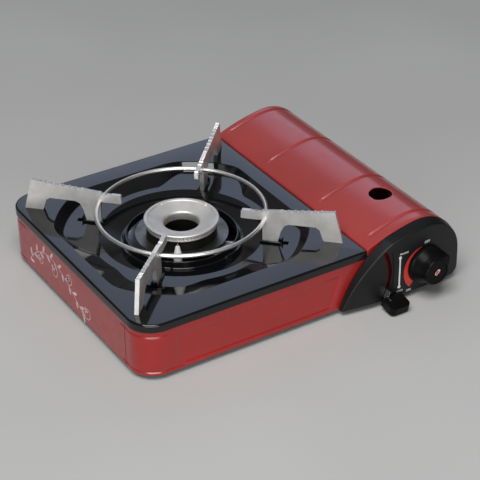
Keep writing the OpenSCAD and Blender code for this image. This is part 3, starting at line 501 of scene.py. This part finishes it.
def well_rim(angle):
    """Distance from the burner's centre to the top edge of the pressed well."""
    c, s = math.cos(angle), math.sin(angle)
    reaches = [WELL_R]
    if abs(c) > 1e-6:
        reaches.append((WELL_X[1] - CENTRE[0] if c > 0 else CENTRE[0] - WELL_X[0]) / abs(c))
    if abs(s) > 1e-6:
        reaches.append((WELL_Y[1] - CENTRE[1] if s > 0 else CENTRE[1] - WELL_Y[0]) / abs(s))
    return nearest_of(reaches, WELL_BLEND)


def slope_foot(angle):
    """Distance from the burner's centre to the foot of the well's slope, which
    spreads into a flat lobe at each corner."""
    degrees = math.degrees(angle) % 360
    off = abs(degrees % 90 - 45)
    end = LOBE_END_LEFT if 135 < degrees < 180 else LOBE_END
    lobe = LOBE_FRONT_LEFT if 180 < degrees < 270 else LOBE
    return SLOPE_FOOT + lobe * eased(end, LOBE_FULL, off)


def deck_reach(angle):
    """Distance from the burner's centre to the deck's outer edge at an angle."""
    heading = (math.cos(angle), math.sin(angle))
    reach = min(((size if h > 0 else 0) - middle) / h
                for h, size, middle in zip(heading, (DECK_W, BODY_D), CENTRE)
                if abs(h) > 1e-9)
    x, y = (middle + reach * h for h, middle in zip(heading, CENTRE))
    hub_y = min(max(y, CORNER_R), BODY_D - CORNER_R)
    if x < CORNER_R and y != hub_y:
        reach = exit_of(CENTRE, heading, (CORNER_R, hub_y), CORNER_R)
    return reach


def exit_of(start, heading, hub, radius):
    """Distance along a ray from a point inside a circle to where it leaves it."""
    dx, dz = start[0] - hub[0], start[1] - hub[1]
    along = dx * heading[0] + dz * heading[1]
    return -along + math.sqrt(max(0, along * along - dx * dx - dz * dz + radius * radius))


def deck():
    """Deck with its collar, dish, well and skirt, and the slots and seats of the arms."""
    corners = [math.atan2(y - CENTRE[1], DECK_W - CENTRE[0]) for y in (0, BODY_D)]
    angles = sorted([2 * math.pi * k / 480 for k in range(480)] +
                    [a % (2 * math.pi) for a in corners])
    rows = []
    for a in angles:
        edge = deck_reach(a)
        rim = min(well_rim(a), edge - SECTION_GAP)
        foot = min(slope_foot(a), rim - SECTION_GAP)
        profile = rounded([*COLLAR_AND_DISH, (foot, WELL_FLOOR), (rim, DECK_Z),
                           (edge, DECK_Z), (edge, SKIRT_FOOT)], SECTION_RADII, 6)
        rows.append([(CENTRE[0] + r * math.cos(a), CENTRE[1] + r * math.sin(a), z)
                     for r, z in profile])
    sheet = mesh_of("deck", [p for row in rows for p in row],
                    grid_faces(len(rows), len(rows[0]), True, False))
    sheet = with_modifier(sheet, "SOLIDIFY", thickness=DECK_SHEET * MM, offset=-1)
    sheet = cut(sheet, bars("slots", *[(a, *ARM_SLOT) for a in DIAGONALS]))
    seats = [(a, *seat) for a in DIAGONALS for seat in ARM_SEATS]
    piece("deck", joined("deck", sheet, softened(bars("seats", *seats), 0.45, 3)),
          "black_enamel", "root", ["top_plate"])


# ------------------------------------------------------------------- walls

# Thickness and top of the pressed walls, and the spacing of points along them
WALL_SHEET = 0.95
WALL_TOP = 54.0
WALL_STEP = 1.1
# Field pressed into the front wall: corners of its outline within its corner radius,
# its depth, and a limit to its left
FIELD = ((41, 8.5), (200.3, 8.5), (209.3, 33), (41, 33))
FIELD_R = 4.0
FIELD_DEPTH = 0.95
FIELD_LEFT = 34.0
# Grooves round the left corners: how far along x and y, height of the middle
GROOVES = ((30, 40, 41.8), (46, 38.5, 3.8))
GROOVE_HALF = 2.5
GROOVE_DEPTH = 0.8
# Seam of front and side wall, end of the side wall behind, start of the bay's plain sheet
SEAM = 32.0
SEAM_GAP = 1.0
SIDE_END = 32.0
BAY_X = 241.0


def field_edge(x, z):
    """Distance from a point of the front wall to the field's outline, negative inside."""
    inside, nearest = True, 1e9
    for (ax, az), (bx, bz) in zip(FIELD, FIELD[1:] + FIELD[:1]):
        ex, ez = bx - ax, bz - az
        px, pz = x - ax, z - az
        t = min(1, max(0, (px * ex + pz * ez) / (ex * ex + ez * ez)))
        nearest = min(nearest, math.hypot(px - t * ex, pz - t * ez))
        inside = inside and ex * pz - ez * px > 0
    return (-nearest if inside else nearest) - FIELD_R


def pressed_in(x, y, z):
    """How far the wall is pressed in at a point."""
    dip = 0.0
    near = min(y, BODY_D - y)
    for reach_x, reach_y, height in GROOVES:
        across = abs(z - height) / GROOVE_HALF
        if across < 1:
            ends = eased(reach_x, reach_x - 2, x) * eased(reach_y, reach_y - 2, near)
            dip = max(dip, GROOVE_DEPTH * ends * math.cos(across * math.pi / 2) ** 2)
    if y < SHEET + 0.01 and x > FIELD_LEFT:
        dip = max(dip, FIELD_DEPTH * eased(0.6, -1.1, field_edge(x, z)))
    return dip


def corner_path(start, end, hub, first, last):
    """Straight run, corner arc and straight run of a wall, with outward headings."""
    radius = CORNER_R - SHEET
    arc = [(hub[0] + radius * math.cos(a), hub[1] + radius * math.sin(a), math.cos(a),
            math.sin(a)) for a in np.radians(np.linspace(first, last, 40))]
    path = []
    for a, b in ((start, arc[0]), (arc[-1], end)):
        steps = int(math.hypot(b[0] - a[0], b[1] - a[1]) / WALL_STEP) + 1
        head = arc[0][2:] if a is start else arc[-1][2:]
        path.append([(a[0] + (b[0] - a[0]) * t, a[1] + (b[1] - a[1]) * t, *head)
                     for t in np.linspace(0, 1, steps + 1)])
    return path[0] + arc[1:-1] + path[1]


def wall_sheet(name, path):
    """Pressed sheet that stands along a path, with more points across its grooves."""
    heights = sorted(set(np.linspace(0, WALL_TOP, 37)) | set(np.linspace(0.6, 8, 16)) |
                     set(np.linspace(35, 45, 20)))
    points = []
    for x, y, nx, ny in path:
        for z in heights:
            dip = pressed_in(x, y, z)
            points.append((x - nx * dip, y - ny * dip, z))
    sheet = mesh_of(name, points, grid_faces(len(path), len(heights)))
    return with_modifier(sheet, "SOLIDIFY", thickness=WALL_SHEET * MM, offset=-1)


def right_of(mesh, x):
    """Leaves only the part of a closed mesh to the right of x, closed again."""
    with edited(mesh) as form:
        bmesh.ops.bisect_plane(form, geom=form.verts[:] + form.edges[:] + form.faces[:],
                               plane_co=place(x, 0, 0), plane_no=(-1, 0, 0),
                               clear_outer=True)
        bmesh.ops.holes_fill(form, edges=[e for e in form.edges if e.is_boundary])
    return mesh


def walls():
    """Front wall, round the left corner to the seam, and side wall from there on."""
    front = wall_sheet("front", corner_path((SHEET, SEAM - SEAM_GAP / 2), (BAY_X, SHEET),
                                            (CORNER_R, CORNER_R), 180, 270))
    bay = right_of(from_cad("front_wall"), BAY_X)
    piece("front_wall_pressed", joined("front", front, bay), "red_paint", "root",
          ["front_wall"])
    left = wall_sheet("left", corner_path((SHEET, SEAM + SEAM_GAP / 2),
                                          (SIDE_END, BODY_D - SHEET),
                                          (CORNER_R, BODY_D - CORNER_R), 180, 90))
    piece("side_wall_pressed", left, "red_paint", "root", ["side_wall"])


# ------------------------------------------------------------------- sprig

SPRIG_SIZES = {"Leaf spacing": 7.8, "Leaf length": 8.8, "Stem width": 0.9,
               "Berry radius": 1.6, "Cluster radius": 2.1, "Shortest leafy stem": 60.0}


# Arched stem: where it starts, how far it runs, rises and falls off
ARCH_START = (44.0, 9.0)
ARCH_RUN, ARCH_RISE, ARCH_FALL = 112.0, 27.0, 1.5
# Tendrils: point of the stem they leave, lean, side they curl to, length
TENDRILS = ((12, -0.9, -1, 26), (30, -0.7, -1, 34), (44, 0.8, 1, 24), (59, 0.2, 1, 30))
TENDRIL_STEPS = 36
# How far prints stand off the surface they lie on
PRINT_LIFT = 0.06


def sprig_stems():
    """Runs of the printed sprig, as (distance from the rear edge, height): one arched
    stem with leaves and bare tendrils that curl in towards their berries."""
    x0, z0 = ARCH_START
    main = [(x0 + ARCH_RUN * t, z0 + ARCH_RISE * math.sin(math.pi * t ** 0.8) - ARCH_FALL * t)
            for t in np.linspace(0, 1, 60)]
    runs = [main]
    for start, lean, bend, length in TENDRILS:
        x, z = main[start]
        x0, z0 = main[start - 1]
        heading, tendril = math.atan2(z - z0, x - x0) + lean, []
        for k in range(TENDRIL_STEPS):
            tendril.append((x, z))
            heading += bend * (0.03 + 0.0062 * k)
            x += length / TENDRIL_STEPS * math.cos(heading)
            z += length / TENDRIL_STEPS * math.sin(heading)
        runs.append(tendril)
    return runs


def sprig():
    """Leafy sprig printed on the left wall: leaves grow along each stem."""
    group, size, add = node_tree("sprig", SPRIG_SIZES)
    curve = add("GeometryNodeMeshToCurve", {"Mesh": size["Geometry"]}).outputs["Curve"]
    line = add("GeometryNodeCurvePrimitiveLine", mode="DIRECTION")
    line.inputs["Direction"].default_value = (1, 0, 0)
    add_links = group.links.new
    add_links(size["Stem width"], line.inputs["Length"])
    stem = add("GeometryNodeCurveToMesh",
               {"Curve": curve, "Profile Curve": line.outputs["Curve"]}).outputs["Mesh"]
    # leaf: a flattened circle whose near end sits on the stem
    leaf_fill = add("GeometryNodeFillCurve", {"Curve": circle(add, 12, 0.5)}).outputs[0]
    leaf_form = add("GeometryNodeTransform", {"Geometry": leaf_fill,
                    "Translation": (0.54, 0, 0), "Scale": (1, 0.40, 1)}).outputs["Geometry"]
    points = add("GeometryNodeResampleCurve", {"Curve": curve}, mode="LENGTH")
    add_links(size["Leaf spacing"], points.inputs["Length"])
    tangent = add("GeometryNodeInputTangent").outputs["Tangent"]
    along = add("FunctionNodeAlignRotationToVector", {"Vector": tangent}, axis="X",
                pivot_axis="Z").outputs["Rotation"]
    index = add("GeometryNodeInputIndex").outputs["Index"]
    side = add("ShaderNodeMath", {0: index, 1: 2.0}, operation="MODULO").outputs[0]
    swing = add("ShaderNodeMapRange", {"Value": side, "To Min": -0.85, "To Max": 0.85}
                ).outputs["Result"]
    spin = add("ShaderNodeCombineXYZ", {"Z": swing}).outputs[0]
    turned_leaf = add("FunctionNodeRotateRotation", {"Rotation": along, "Rotate By": spin},
                      rotation_space="LOCAL").outputs["Rotation"]
    run = add("GeometryNodeSplineLength").outputs["Length"]
    leafy = add("FunctionNodeCompare", {"A": run, "B": size["Shortest leafy stem"]})
    leaves = add("GeometryNodeInstanceOnPoints",
                 {"Points": points.outputs["Curve"], "Instance": leaf_form,
                  "Selection": leafy.outputs["Result"],
                  "Rotation": turned_leaf, "Scale": size["Leaf length"]}).outputs["Instances"]
    # three berries at each stem's end, the second of its two tips
    tips = add("GeometryNodeCurveToPoints", {"Curve": curve, "Count": 2}).outputs["Points"]
    berry = add("GeometryNodeFillCurve",
                {"Curve": circle(add, 14, size["Berry radius"])}).outputs[0]
    spread = add("GeometryNodeMeshCircle", {"Vertices": 3, "Radius": size["Cluster radius"]})
    cluster = add("GeometryNodeInstanceOnPoints", {"Points": spread.outputs["Mesh"],
                  "Instance": berry}).outputs["Instances"]
    berries = add("GeometryNodeInstanceOnPoints", {"Points": tips, "Selection": side,
                  "Instance": cluster}).outputs["Instances"]
    both = add("GeometryNodeJoinGeometry")
    for part in (stem, leaves, berries):
        add_links(part, both.inputs["Geometry"])
    finish_tree(group, add, both.outputs["Geometry"], "sprig_print")

    runs, links, points_flat = sprig_stems(), [], []
    for run in runs:
        links += [(len(points_flat) + k, len(points_flat) + k + 1) for k in range(len(run) - 1)]
        points_flat += [(x, z, 0) for x, z in run]
    stems = bpy.data.meshes.new("stems")
    stems.from_pydata(points_flat, links, [])
    flat = grown(group, SPRIG_SIZES, stems)
    for vertex in flat.vertices:
        vertex.co = place(SHEET - PRINT_LIFT, BODY_D - vertex.co.x, vertex.co.y)
    faced(flat, Vector((-1, 0, 0)))
    piece("sprig_print", flat, "sprig_print", "root", angle=0)


# --------------------------------------------------------------------- lid

# Left lip and its lower edge, front and rear end, sheet thickness
LID_LEFT = 242.8
LID_LIP = 49.5
LID_Y = (0.6, 269.4)
LID_SHEET = 0.95
# Lower edge of the lid on its hinge side, just above the pan's wall, and its lower
# edge near the front and rear walls, which it swings past
LID_FOOT = 12.7
LID_END = 8.0
LID_END_FOOT = 15.0
# Pressed grooves across the lid: where along it, half width, depth
LID_GROOVES = (14.7, 93.5, 186, 262)
LID_GROOVE_HALF = 2.9
LID_GROOVE_DEPTH = 1.5
# Sight hole, and the clearances for the hinge leaves
SIGHT_HOLE = (299.0, 58.5)
SIGHT_HOLE_R = 11.5
LEAF_Y = (62, 214)
LEAF_HALF = 13.0


def lid_section():
    """Outer outline of the lid from its left lip over the crown to the hinge side."""
    def flank(x):
        return x, FLANK[1] + math.sqrt(FLANK_R ** 2 - (x - FLANK[0]) ** 2)
    left, corner = LID_LEFT, flank(LID_LEFT)
    points = [(left, LID_LIP), (left, 50.5), (left, 52), (left, corner[1] - 1.6),
              (left + 0.15, corner[1] - 0.9), (left + 0.5, corner[1] - 0.25)]
    points += [flank(x) for x in np.linspace(left + 1.2, FLANK_END, 44)]
    for a in np.linspace(math.pi / 2 + FLANK_TILT, 0, 60)[1:]:
        points.append((CROWN[0] + CROWN_R * math.cos(a), CROWN[1] + CROWN_R * math.sin(a)))
    points += [(CROWN[0] + CROWN_R, z) for z in (22, 18, LID_FOOT)]
    return np.array(points)


def block(low, high):
    """Closed box mesh between two corners, in millimetres from the body corner."""
    mesh = bpy.data.meshes.new("block")
    with edited(mesh) as form:
        bmesh.ops.create_cube(form, size=1)
    a, b = place(*low), place(*high)
    mesh.transform(Matrix.Translation((a + b) / 2) @ Matrix.Diagonal((*(b - a), 1)))
    return mesh


def lid():
    """Lid with its grooves, its sight hole and the clearances for the hinge leaves."""
    outline = lid_section()
    heading = np.gradient(outline, axis=0)
    normal = np.stack([heading[:, 1], -heading[:, 0]], 1)
    normal /= -np.linalg.norm(normal, axis=1)[:, None]
    # more points along the lid at its grooves and at its sight hole
    stations = set(np.linspace(*LID_Y, 46))
    stations |= {y for g in LID_GROOVES for y in g + np.linspace(-3.4, 3.4, 15)
                 if LID_Y[0] < y < LID_Y[1]}
    stations |= set(np.linspace(45, 72, 24))
    stations = sorted(stations)
    points = []
    for y in stations:
        for (x, z), n in zip(outline, normal):
            dip = 0.0
            for g in LID_GROOVES:
                t = abs(y - g) / LID_GROOVE_HALF
                if t < 1:
                    dip += LID_GROOVE_DEPTH * math.cos(t * math.pi / 2) ** 2
            dip *= eased(252, 255, x) * eased(31, 34, z)
            if min(y, BODY_D - y) < LID_END:
                z = max(z, LID_END_FOOT)
            points.append((x - n[0] * dip, y, z - n[1] * dip))
    shell = mesh_of("lid", points, grid_faces(len(stations), len(outline)))
    shell = with_modifier(shell, "SOLIDIFY", thickness=LID_SHEET * MM, offset=-1)
    shell = cut(shell, rod((*SIGHT_HOLE, 50), (*SIGHT_HOLE, 90), SIGHT_HOLE_R, 72))
    for y in LEAF_Y:
        shell = cut(shell, block((342, y - LEAF_HALF, 10), (350, y + LEAF_HALF, 16.4)))
    piece("lid_shell", softened(shell, 0.3, 2, 50), "lid_paint_painted_reflection", "lid", ["lid"])


# ----------------------------------------------------------- control panel

# Point of the panel's plane that its outline is measured from, lean of its edge, wall
PANEL_HUB = (290.0, 20.0)
PANEL_TAPER = 2.6 / 11.8
PANEL_WALL = 2.0
# Bow of the front surface: centre and radius of its arc in plan
BOW_X, BOW_Y, BOW_R = 286.0, 376.2, 388.0
# Arc that ends the panel at its left tip, the tip's x, and the lower right corner
TIP_HUB, TIP_R = (321.7, -37.8), 117.0
TIP_X = 211.0
PANEL_CORNER_R = 8.0
# Rounding of the front edge: how far in it starts, radius, first guess of the inset
EDGE_RUN, EDGE_R, EDGE_INSET = 4.0, 1.7, 2.2
# Track and slot of the lever: centre, inner and outer radius, half angle
TRACK, TRACK_DEPTH = ((149.5, 28), 100, 116.5, 12), 0.8
LEVER_SLOT = ((213.5, 28.5), 46.6, 50.4, 31.5)
# Depths well before and behind the panel's wall, between which its holes are cut
BEFORE, BEHIND = -20.0, 3.0
SPINDLE_HOLE_R = 4.5
BOSSES = ((232, 24), (334, 46), (338, 16), (276, 52))
BOSS_R = 4.0


def bow(x):
    """Front surface of the control panel, bowed along its width."""
    return BOW_Y - math.sqrt(BOW_R ** 2 - (x - BOW_X) ** 2)


def panel_reach(heading, inset):
    """Distance from the panel's hub to its outline, drawn in by inset."""
    c, s = heading
    top = exit_of(PANEL_HUB, heading, FLANK, FLANK_R - inset)
    if PANEL_HUB[0] + top * c > FLANK_END:
        top = exit_of(PANEL_HUB, heading, CROWN, CROWN_R - inset)
    if c > 0 and PANEL_HUB[1] + top * s < CROWN[1]:
        top = math.inf
    reaches = [top, exit_of(PANEL_HUB, heading, TIP_HUB, TIP_R - inset)]
    side = BODY_W - inset
    if c > 1e-6:
        reaches.append((side - PANEL_HUB[0]) / c)
    if s < -1e-6:
        reaches.append(-PANEL_HUB[1] / s)
    reach = nearest_of(reaches, 0.25)
    x, z = PANEL_HUB[0] + reach * c, PANEL_HUB[1] + reach * s
    corner = PANEL_CORNER_R
    if x > side - corner and z < corner:
        reach = exit_of(PANEL_HUB, heading, (side - corner, corner), corner)
    return reach


def arc_block(hub, inner, outer, reach, near, far):
    """Closed block over part of a ring in the panel's plane; its faces' depths are
    functions of x."""
    points, steps = [], 48
    for a in np.radians(np.linspace(-reach, reach, steps)):
        for r in (inner, outer):
            x, z = hub[0] + r * math.cos(a), hub[1] + r * math.sin(a)
            points += [(x, near(x), z), (x, far(x), z)]
    faces = [(0, 1, 3, 2), (4 * steps - 4, 4 * steps - 2, 4 * steps - 1, 4 * steps - 3)]
    for k in range(steps - 1):
        a, b = 4 * k, 4 * k + 4
        faces += [(a, a + 1, b + 1, b), (a + 2, b + 2, b + 3, a + 3),
                  (a, b, b + 2, a + 2), (a + 1, a + 3, b + 3, b + 1)]
    return mesh_of("arc_block", points, faces)


def control_panel():
    """Bowed panel with the lever's track and slot, the spindle's hole and the bosses."""
    tip = math.degrees(math.atan2(-PANEL_HUB[1], TIP_X - PANEL_HUB[0])) % 360
    angles = sorted({*np.linspace(0, 360, 420, endpoint=False),
                     *np.linspace(tip - 4, tip + 4, 50), *np.linspace(325, 350, 30)})
    points = []
    for degrees in angles:
        heading = (math.cos(math.radians(degrees)), math.sin(math.radians(degrees)))
        inset = EDGE_INSET
        for _ in range(3):
            crease = panel_reach(heading, inset)
            x = PANEL_HUB[0] + crease * heading[0]
            inset = -PANEL_TAPER * bow(x)
        front = [(r, bow(PANEL_HUB[0] + r * heading[0]))
                 for r in np.linspace(0, crease - EDGE_RUN, 12)]
        edge = [(crease - EDGE_RUN, bow(PANEL_HUB[0] + (crease - EDGE_RUN) * heading[0])),
                (crease, bow(x)), (panel_reach(heading, 0), 0)]
        profile = front + list(rounded(edge, [EDGE_R], 6)[1:])
        points += [(PANEL_HUB[0] + r * heading[0], y, PANEL_HUB[1] + r * heading[1])
                   for r, y in profile]
    shell = mesh_of("panel", points, grid_faces(len(angles), len(points) // len(angles),
                                                True, False))
    shell = with_modifier(shell, "SOLIDIFY", thickness=PANEL_WALL * MM, offset=-1)
    track = arc_block(*TRACK, lambda x: BEFORE, lambda x: bow(x) + TRACK_DEPTH)
    slot = arc_block(*LEVER_SLOT, lambda x: BEFORE, lambda x: BEHIND)
    spindle_hole = rod((VALVE[0], BEFORE, VALVE[1]), (VALVE[0], BEHIND, VALVE[1]),
                       SPINDLE_HOLE_R)
    shell = cut(cut(cut(shell, track), slot), spindle_hole)
    bosses = [rod((x, bow(x) + 1.2, z), (x, 0.9, z), BOSS_R, 32) for x, z in BOSSES]
    piece("control_panel_moulded", joined("panel", shell, *bosses), "black_plastic", "root",
          ["control_panel"])


# Words on the panel: piece name, word, middle and height of its letters
WORDS = (("print_release", "RELEASE", (276.6, 47.0), 1.9),
         ("print_lock", "LOCK", (273.4, 6.0), 1.9),
         ("print_off", "OFF", (303.6, 50.8), 2.7),
         ("print_on", "ON", (283.6, 3.4), 2.5))
# Crescent round the knob: where it starts and how far it turns in degrees, inner
# radius, outer radius at its start and how much that grows
SWEEP_FROM, SWEEP_TURN = 104.0, 124.0
SWEEP_INNER, SWEEP_OUTER, SWEEP_GROWTH = 20.6, 21.0, 6.2


def on_panel(name, points, faces, material):
    """Print laid on the panel's front surface; points are (x, z)."""
    mesh = mesh_of(name, [(x, bow(x) - PRINT_LIFT, z) for x, z in points], faces, False)
    faced(mesh, Vector((0, -1, 0)))
    piece(name, mesh, material, "root", angle=0)


def lettering(name, word, middle, height):
    """A word printed on the panel."""
    data = bpy.data.curves.new(name, "FONT")
    data.body, data.size = word, height * 1.4
    data.align_x, data.align_y, data.offset = "CENTER", "CENTER", 0.03 * height
    flat = evaluated(linked(name, data))
    on_panel(name, [(middle[0] + v.co.x, middle[1] + v.co.y) for v in flat.vertices],
             [tuple(p.vertices) for p in flat.polygons], "white_print")


def disc(x, z, radius):
    """Outline of a small round dot."""
    return [(x + radius * math.cos(a), z + radius * math.sin(a))
            for a in np.linspace(0, 2 * math.pi, 24, endpoint=False)]


def panel_prints():
    """Words, lever line with a dot at each end, and the crescent round the knob."""
    for name, word, middle, height in WORDS:
        lettering(name, word, middle, height)
    line = [(271.5, 12), (273.2, 12), (273.2, 42.5), (271.5, 42.5)]
    on_panel("print_lever_line", line + disc(272.35, 43.3, 1.7) + disc(272.35, 10.9, 1.7),
             [(0, 1, 2, 3), tuple(range(4, 28)), tuple(range(28, 52))], "white_print")
    sweep = []
    for t in np.linspace(0, 1, 48):
        angle = math.radians(SWEEP_FROM + SWEEP_TURN * t)
        for radius in (SWEEP_INNER, SWEEP_OUTER + SWEEP_GROWTH * t ** 0.8):
            sweep.append((VALVE[0] + radius * math.cos(angle),
                          VALVE[1] + radius * math.sin(angle)))
    on_panel("print_flame_sweep", sweep, grid_faces(48, 2), "red_print")


# ---------------------------------------------------------- burner, trivet

RING_SIZES = {"Ring radius": 81.0, "Wire radius": 2.1, "Height": 70.2}
PORT_SIZES = {"Ports": 60, "Ring radius": 32.95, "Wall": 2.9, "Rib width": 2.2,
              "Port height": 3.0, "Foot": 57.0}


def trivet_ring():
    """Wire ring of the trivet: a round wire swept along a circle."""
    group, size, add = node_tree("trivet_ring", RING_SIZES)
    swept = add("GeometryNodeCurveToMesh",
                {"Curve": circle(add, 220, size["Ring radius"]),
                 "Profile Curve": circle(add, 20, size["Wire radius"])})
    lift = add("ShaderNodeCombineXYZ", {"Z": size["Height"]}).outputs[0]
    raised = add("GeometryNodeTransform", {"Geometry": swept.outputs["Mesh"],
                                           "Translation": lift})
    finish_tree(group, add, raised.outputs["Geometry"], "ring_wire")
    ring = grown(group, RING_SIZES)
    settle(ring)
    piece("trivet_ring_wire", ring, "ring_wire", "trivet", ["trivet_ring"], 80)


def settle(mesh):
    """Moves a mesh made in millimetres round the burner's axis to its place."""
    mesh.transform(Matrix.Translation(place(*CENTRE, 0)) @ Matrix.Scale(MM, 4))
    with edited(mesh) as form:
        bmesh.ops.recalc_face_normals(form, faces=form.faces)


def flame_ports():
    """Ring of flame ports: ribs between two bands, one gap for each flame."""
    group, size, add = node_tree("flame_ports", PORT_SIZES)
    points = add("GeometryNodeCurveToPoints",
                 {"Curve": circle(add, size["Ports"], size["Ring radius"])},
                 mode="EVALUATED")
    rib_size = add("ShaderNodeCombineXYZ", {"X": size["Rib width"], "Y": size["Wall"],
                                            "Z": size["Port height"]}).outputs[0]
    rib = add("GeometryNodeMeshCube", {"Size": rib_size}).outputs["Mesh"]
    half = add("ShaderNodeMath", {0: size["Port height"], 1: 0.5}, operation="MULTIPLY")
    middle = add("ShaderNodeMath", {0: half.outputs[0], 1: size["Foot"]}, operation="ADD")
    lift = add("ShaderNodeCombineXYZ", {"Z": middle.outputs[0]}).outputs[0]
    around = add("GeometryNodeInstanceOnPoints", {"Points": points.outputs["Points"],
                 "Instance": rib, "Rotation": points.outputs["Rotation"]})
    raised = add("GeometryNodeTransform", {"Geometry": around.outputs["Instances"],
                                           "Translation": lift}).outputs["Geometry"]
    finish_tree(group, add, raised, "cap_alloy")
    ribs = grown(group, PORT_SIZES)
    settle(ribs)
    bands = [turned("band", CENTRE, [(31.5, low), (34.4, low), (34.4, high), (31.5, high)])
             for low, high in ((56, 57.05), (59.95, 61))]
    piece("flame_ring_ports", joined("ports", ribs, *bands), "cap_alloy", "root",
          ["flame_ring"])


def turned(name, hub, profile, sides=128):
    """Closed surface of revolution about an upright axis; profile is (radius, height)."""
    points = [(hub[0] + r * math.cos(a), hub[1] + r * math.sin(a), h) for r, h in profile
              for a in np.linspace(0, 2 * math.pi, sides, endpoint=False)]
    return mesh_of(name, points, grid_faces(len(profile), sides, True, True))


# Depth of the marks on the front face of the knob's insert
INSERT_FACE = -30.86


def insert_marks():
    """Red centre and pale ring printed on the knob's insert, and a white spot at its upper
    right that is a painted highlight.
    """
    def loop(radius, reach, count=40):
        points = []
        for k in range(count):
            a = 2 * math.pi * k / count
            u = (reach if math.cos(a) > 0 else -reach) + radius * math.cos(a)
            v = radius * math.sin(a)
            points.append((VALVE[0] + (u - v) * math.sqrt(0.5), INSERT_FACE,
                           VALVE[1] + (u + v) * math.sqrt(0.5)))
        return points
    # spot: a painted highlight, a white glint printed at the insert's upper right
    spot = [(x + 1.6, y - 0.02, z + 1.6) for x, y, z in loop(0.75, 0.01, 20)]
    marks = (("knob_insert_ring", loop(1.25, 1.6) + loop(1.85, 1.6),
              grid_faces(2, 40, False, True), "sprig_print", "white_plastic"),
             ("knob_insert_centre", loop(1.25, 1.6), [tuple(range(40))], "red_print",
              "red_plastic"),
             ("knob_insert_painted_glint", spot, [tuple(range(20))], "white_print", "white_plastic"))
    for name, points, faces, material, slot in marks:
        mesh = mesh_of(name, points, faces)
        if mesh.polygons[0].normal.y > 0:
            mesh.flip_normals()
        piece(name, mesh, material, "knob", angle=0)


# ------------------------------------------------------------ other pieces

# CAD nodes whose form is right, with the edge radius their copies get
SOFTENED = {
    "rear_wall": 0.2, "knob": 0.45, "lever_cap": 1.6, "lever_arm": 0.2, "burner_body": 0.4,
    "burner_cap": 0.2, "burner_flange": 0.1, "electrode_ceramic": 0.3,
    "trivet_arm_front": 0.22, "trivet_arm_right": 0.22, "trivet_arm_rear": 0.22,
    "trivet_arm_left": 0.22, "knob_insert": 0.2, "cartridge_cradle": 0.15,
}


# Finishes of their own within a material slot; the flange's is its steel darkened as painted
# shade
FINISH = {"knob": "knob_plastic", "lever_cap": "knob_plastic", "knob_insert": "knob_plastic",
          "burner_flange": "flange_steel_painted_shade"}


def carried_over():
    """Softened copies of CAD nodes, and their own finish on the nodes that stay."""
    bodies = {n: b for b, names in frame["record"]["behaviour"]["bodies"].items()
              for n in names}
    slots = {s["node"]: s["material_slot"] for s in frame["record"]["subparts"]}
    for node, width in SOFTENED.items():
        copy = flat_faced(softened(from_cad(node), width, 3 if width > 1 else 2))
        piece(node + "_finished", copy, FINISH.get(node, slots[node]), bodies[node], [node],
              angle=0)
    for node, obj in NODES.items():
        if not obj.hide_render:
            obj.data.materials.clear()
            obj.data.materials.append(M[slots[node]])


# ------------------------------------------------------------------- stage

# Soft reflecting cards of the studio: direction, inner and outer half angle, colour
STUDIO_DIM = (0.040, 0.040, 0.042)
STUDIO_CARDS = (
    ((0.15, 0.70, 0.70), 16, 55, (0.20, 0.20, 0.205)),
    ((-0.40, -0.85, 0.35), 40, 85, (0.16, 0.16, 0.16)),
    ((0.446, 0.721, 0.530), 9, 16, (0.85, 0.99, 1.28)),
)
# Lamps: name, place, width and height, power; and the point they all look at
STUDIO_LAMPS = (
    ("key", (-0.8, -0.8, 2.2), (1.5, 1.5), 48),
    ("low_strip", (-0.90, -1.5, 0.28), (1.6, 0.26), 14),
)
LAMP_AIM = (0, 0, 0.05)
FLOOR_SIZE = 14


def floor_and_light():
    """Pale floor, the studio's reflecting cards as a world, and the lamps."""
    bpy.ops.mesh.primitive_plane_add(size=FLOOR_SIZE, location=(0, 0, 0))
    floor = bpy.context.object
    floor.name = "floor"
    _, principled, _ = drifting("studio_floor", (0.48, 0.48, 0.47), (0.52, 0.52, 0.51),
                                400, 2)
    principled.inputs["Roughness"].default_value = 0.8
    floor.data.materials.append(M["studio_floor"])
    world = bpy.data.worlds.new("studio")
    world.use_nodes = True
    tree = world.node_tree
    background = tree.nodes["Background"]
    coords = tree.nodes.new("ShaderNodeTexCoord").outputs["Generated"]
    glow = None
    for toward, inner, outer, colour in STUDIO_CARDS:
        dot = tree.nodes.new("ShaderNodeVectorMath")
        dot.operation = "DOT_PRODUCT"
        dot.inputs[1].default_value = Vector(toward).normalized()
        tree.links.new(coords, dot.inputs[0])
        edge = tree.nodes.new("ShaderNodeMapRange")
        edge.interpolation_type = "SMOOTHSTEP"
        edge.inputs["From Min"].default_value = math.cos(math.radians(outer))
        edge.inputs["From Max"].default_value = math.cos(math.radians(inner))
        tree.links.new(dot.outputs["Value"], edge.inputs["Value"])
        layer = tree.nodes.new("ShaderNodeMix")
        layer.data_type = "RGBA"
        layer.inputs["A"].default_value = (*STUDIO_DIM, 1)
        layer.inputs["B"].default_value = (*colour, 1)
        if glow:
            tree.links.new(glow, layer.inputs["A"])
        tree.links.new(edge.outputs["Result"], layer.inputs["Factor"])
        glow = layer.outputs["Result"]
    tree.links.new(glow, background.inputs["Color"])
    bpy.context.scene.world = world
    for name, spot, size, power in STUDIO_LAMPS:
        data = bpy.data.lights.new(name, "AREA")
        data.shape = "RECTANGLE"
        data.size, data.size_y = size
        data.energy = power
        lamp = linked(name, data)
        lamp.location = spot
        lamp.rotation_euler = (Vector(LAMP_AIM) - Vector(spot)).to_track_quat(
            "-Z", "Y").to_euler()
    bpy.context.scene.view_settings.view_transform = "Standard"


stand_camera()
floor_and_light()
deck()
walls()
sprig()
lid()
control_panel()
panel_prints()
trivet_ring()
flame_ports()
insert_marks()
carried_over()
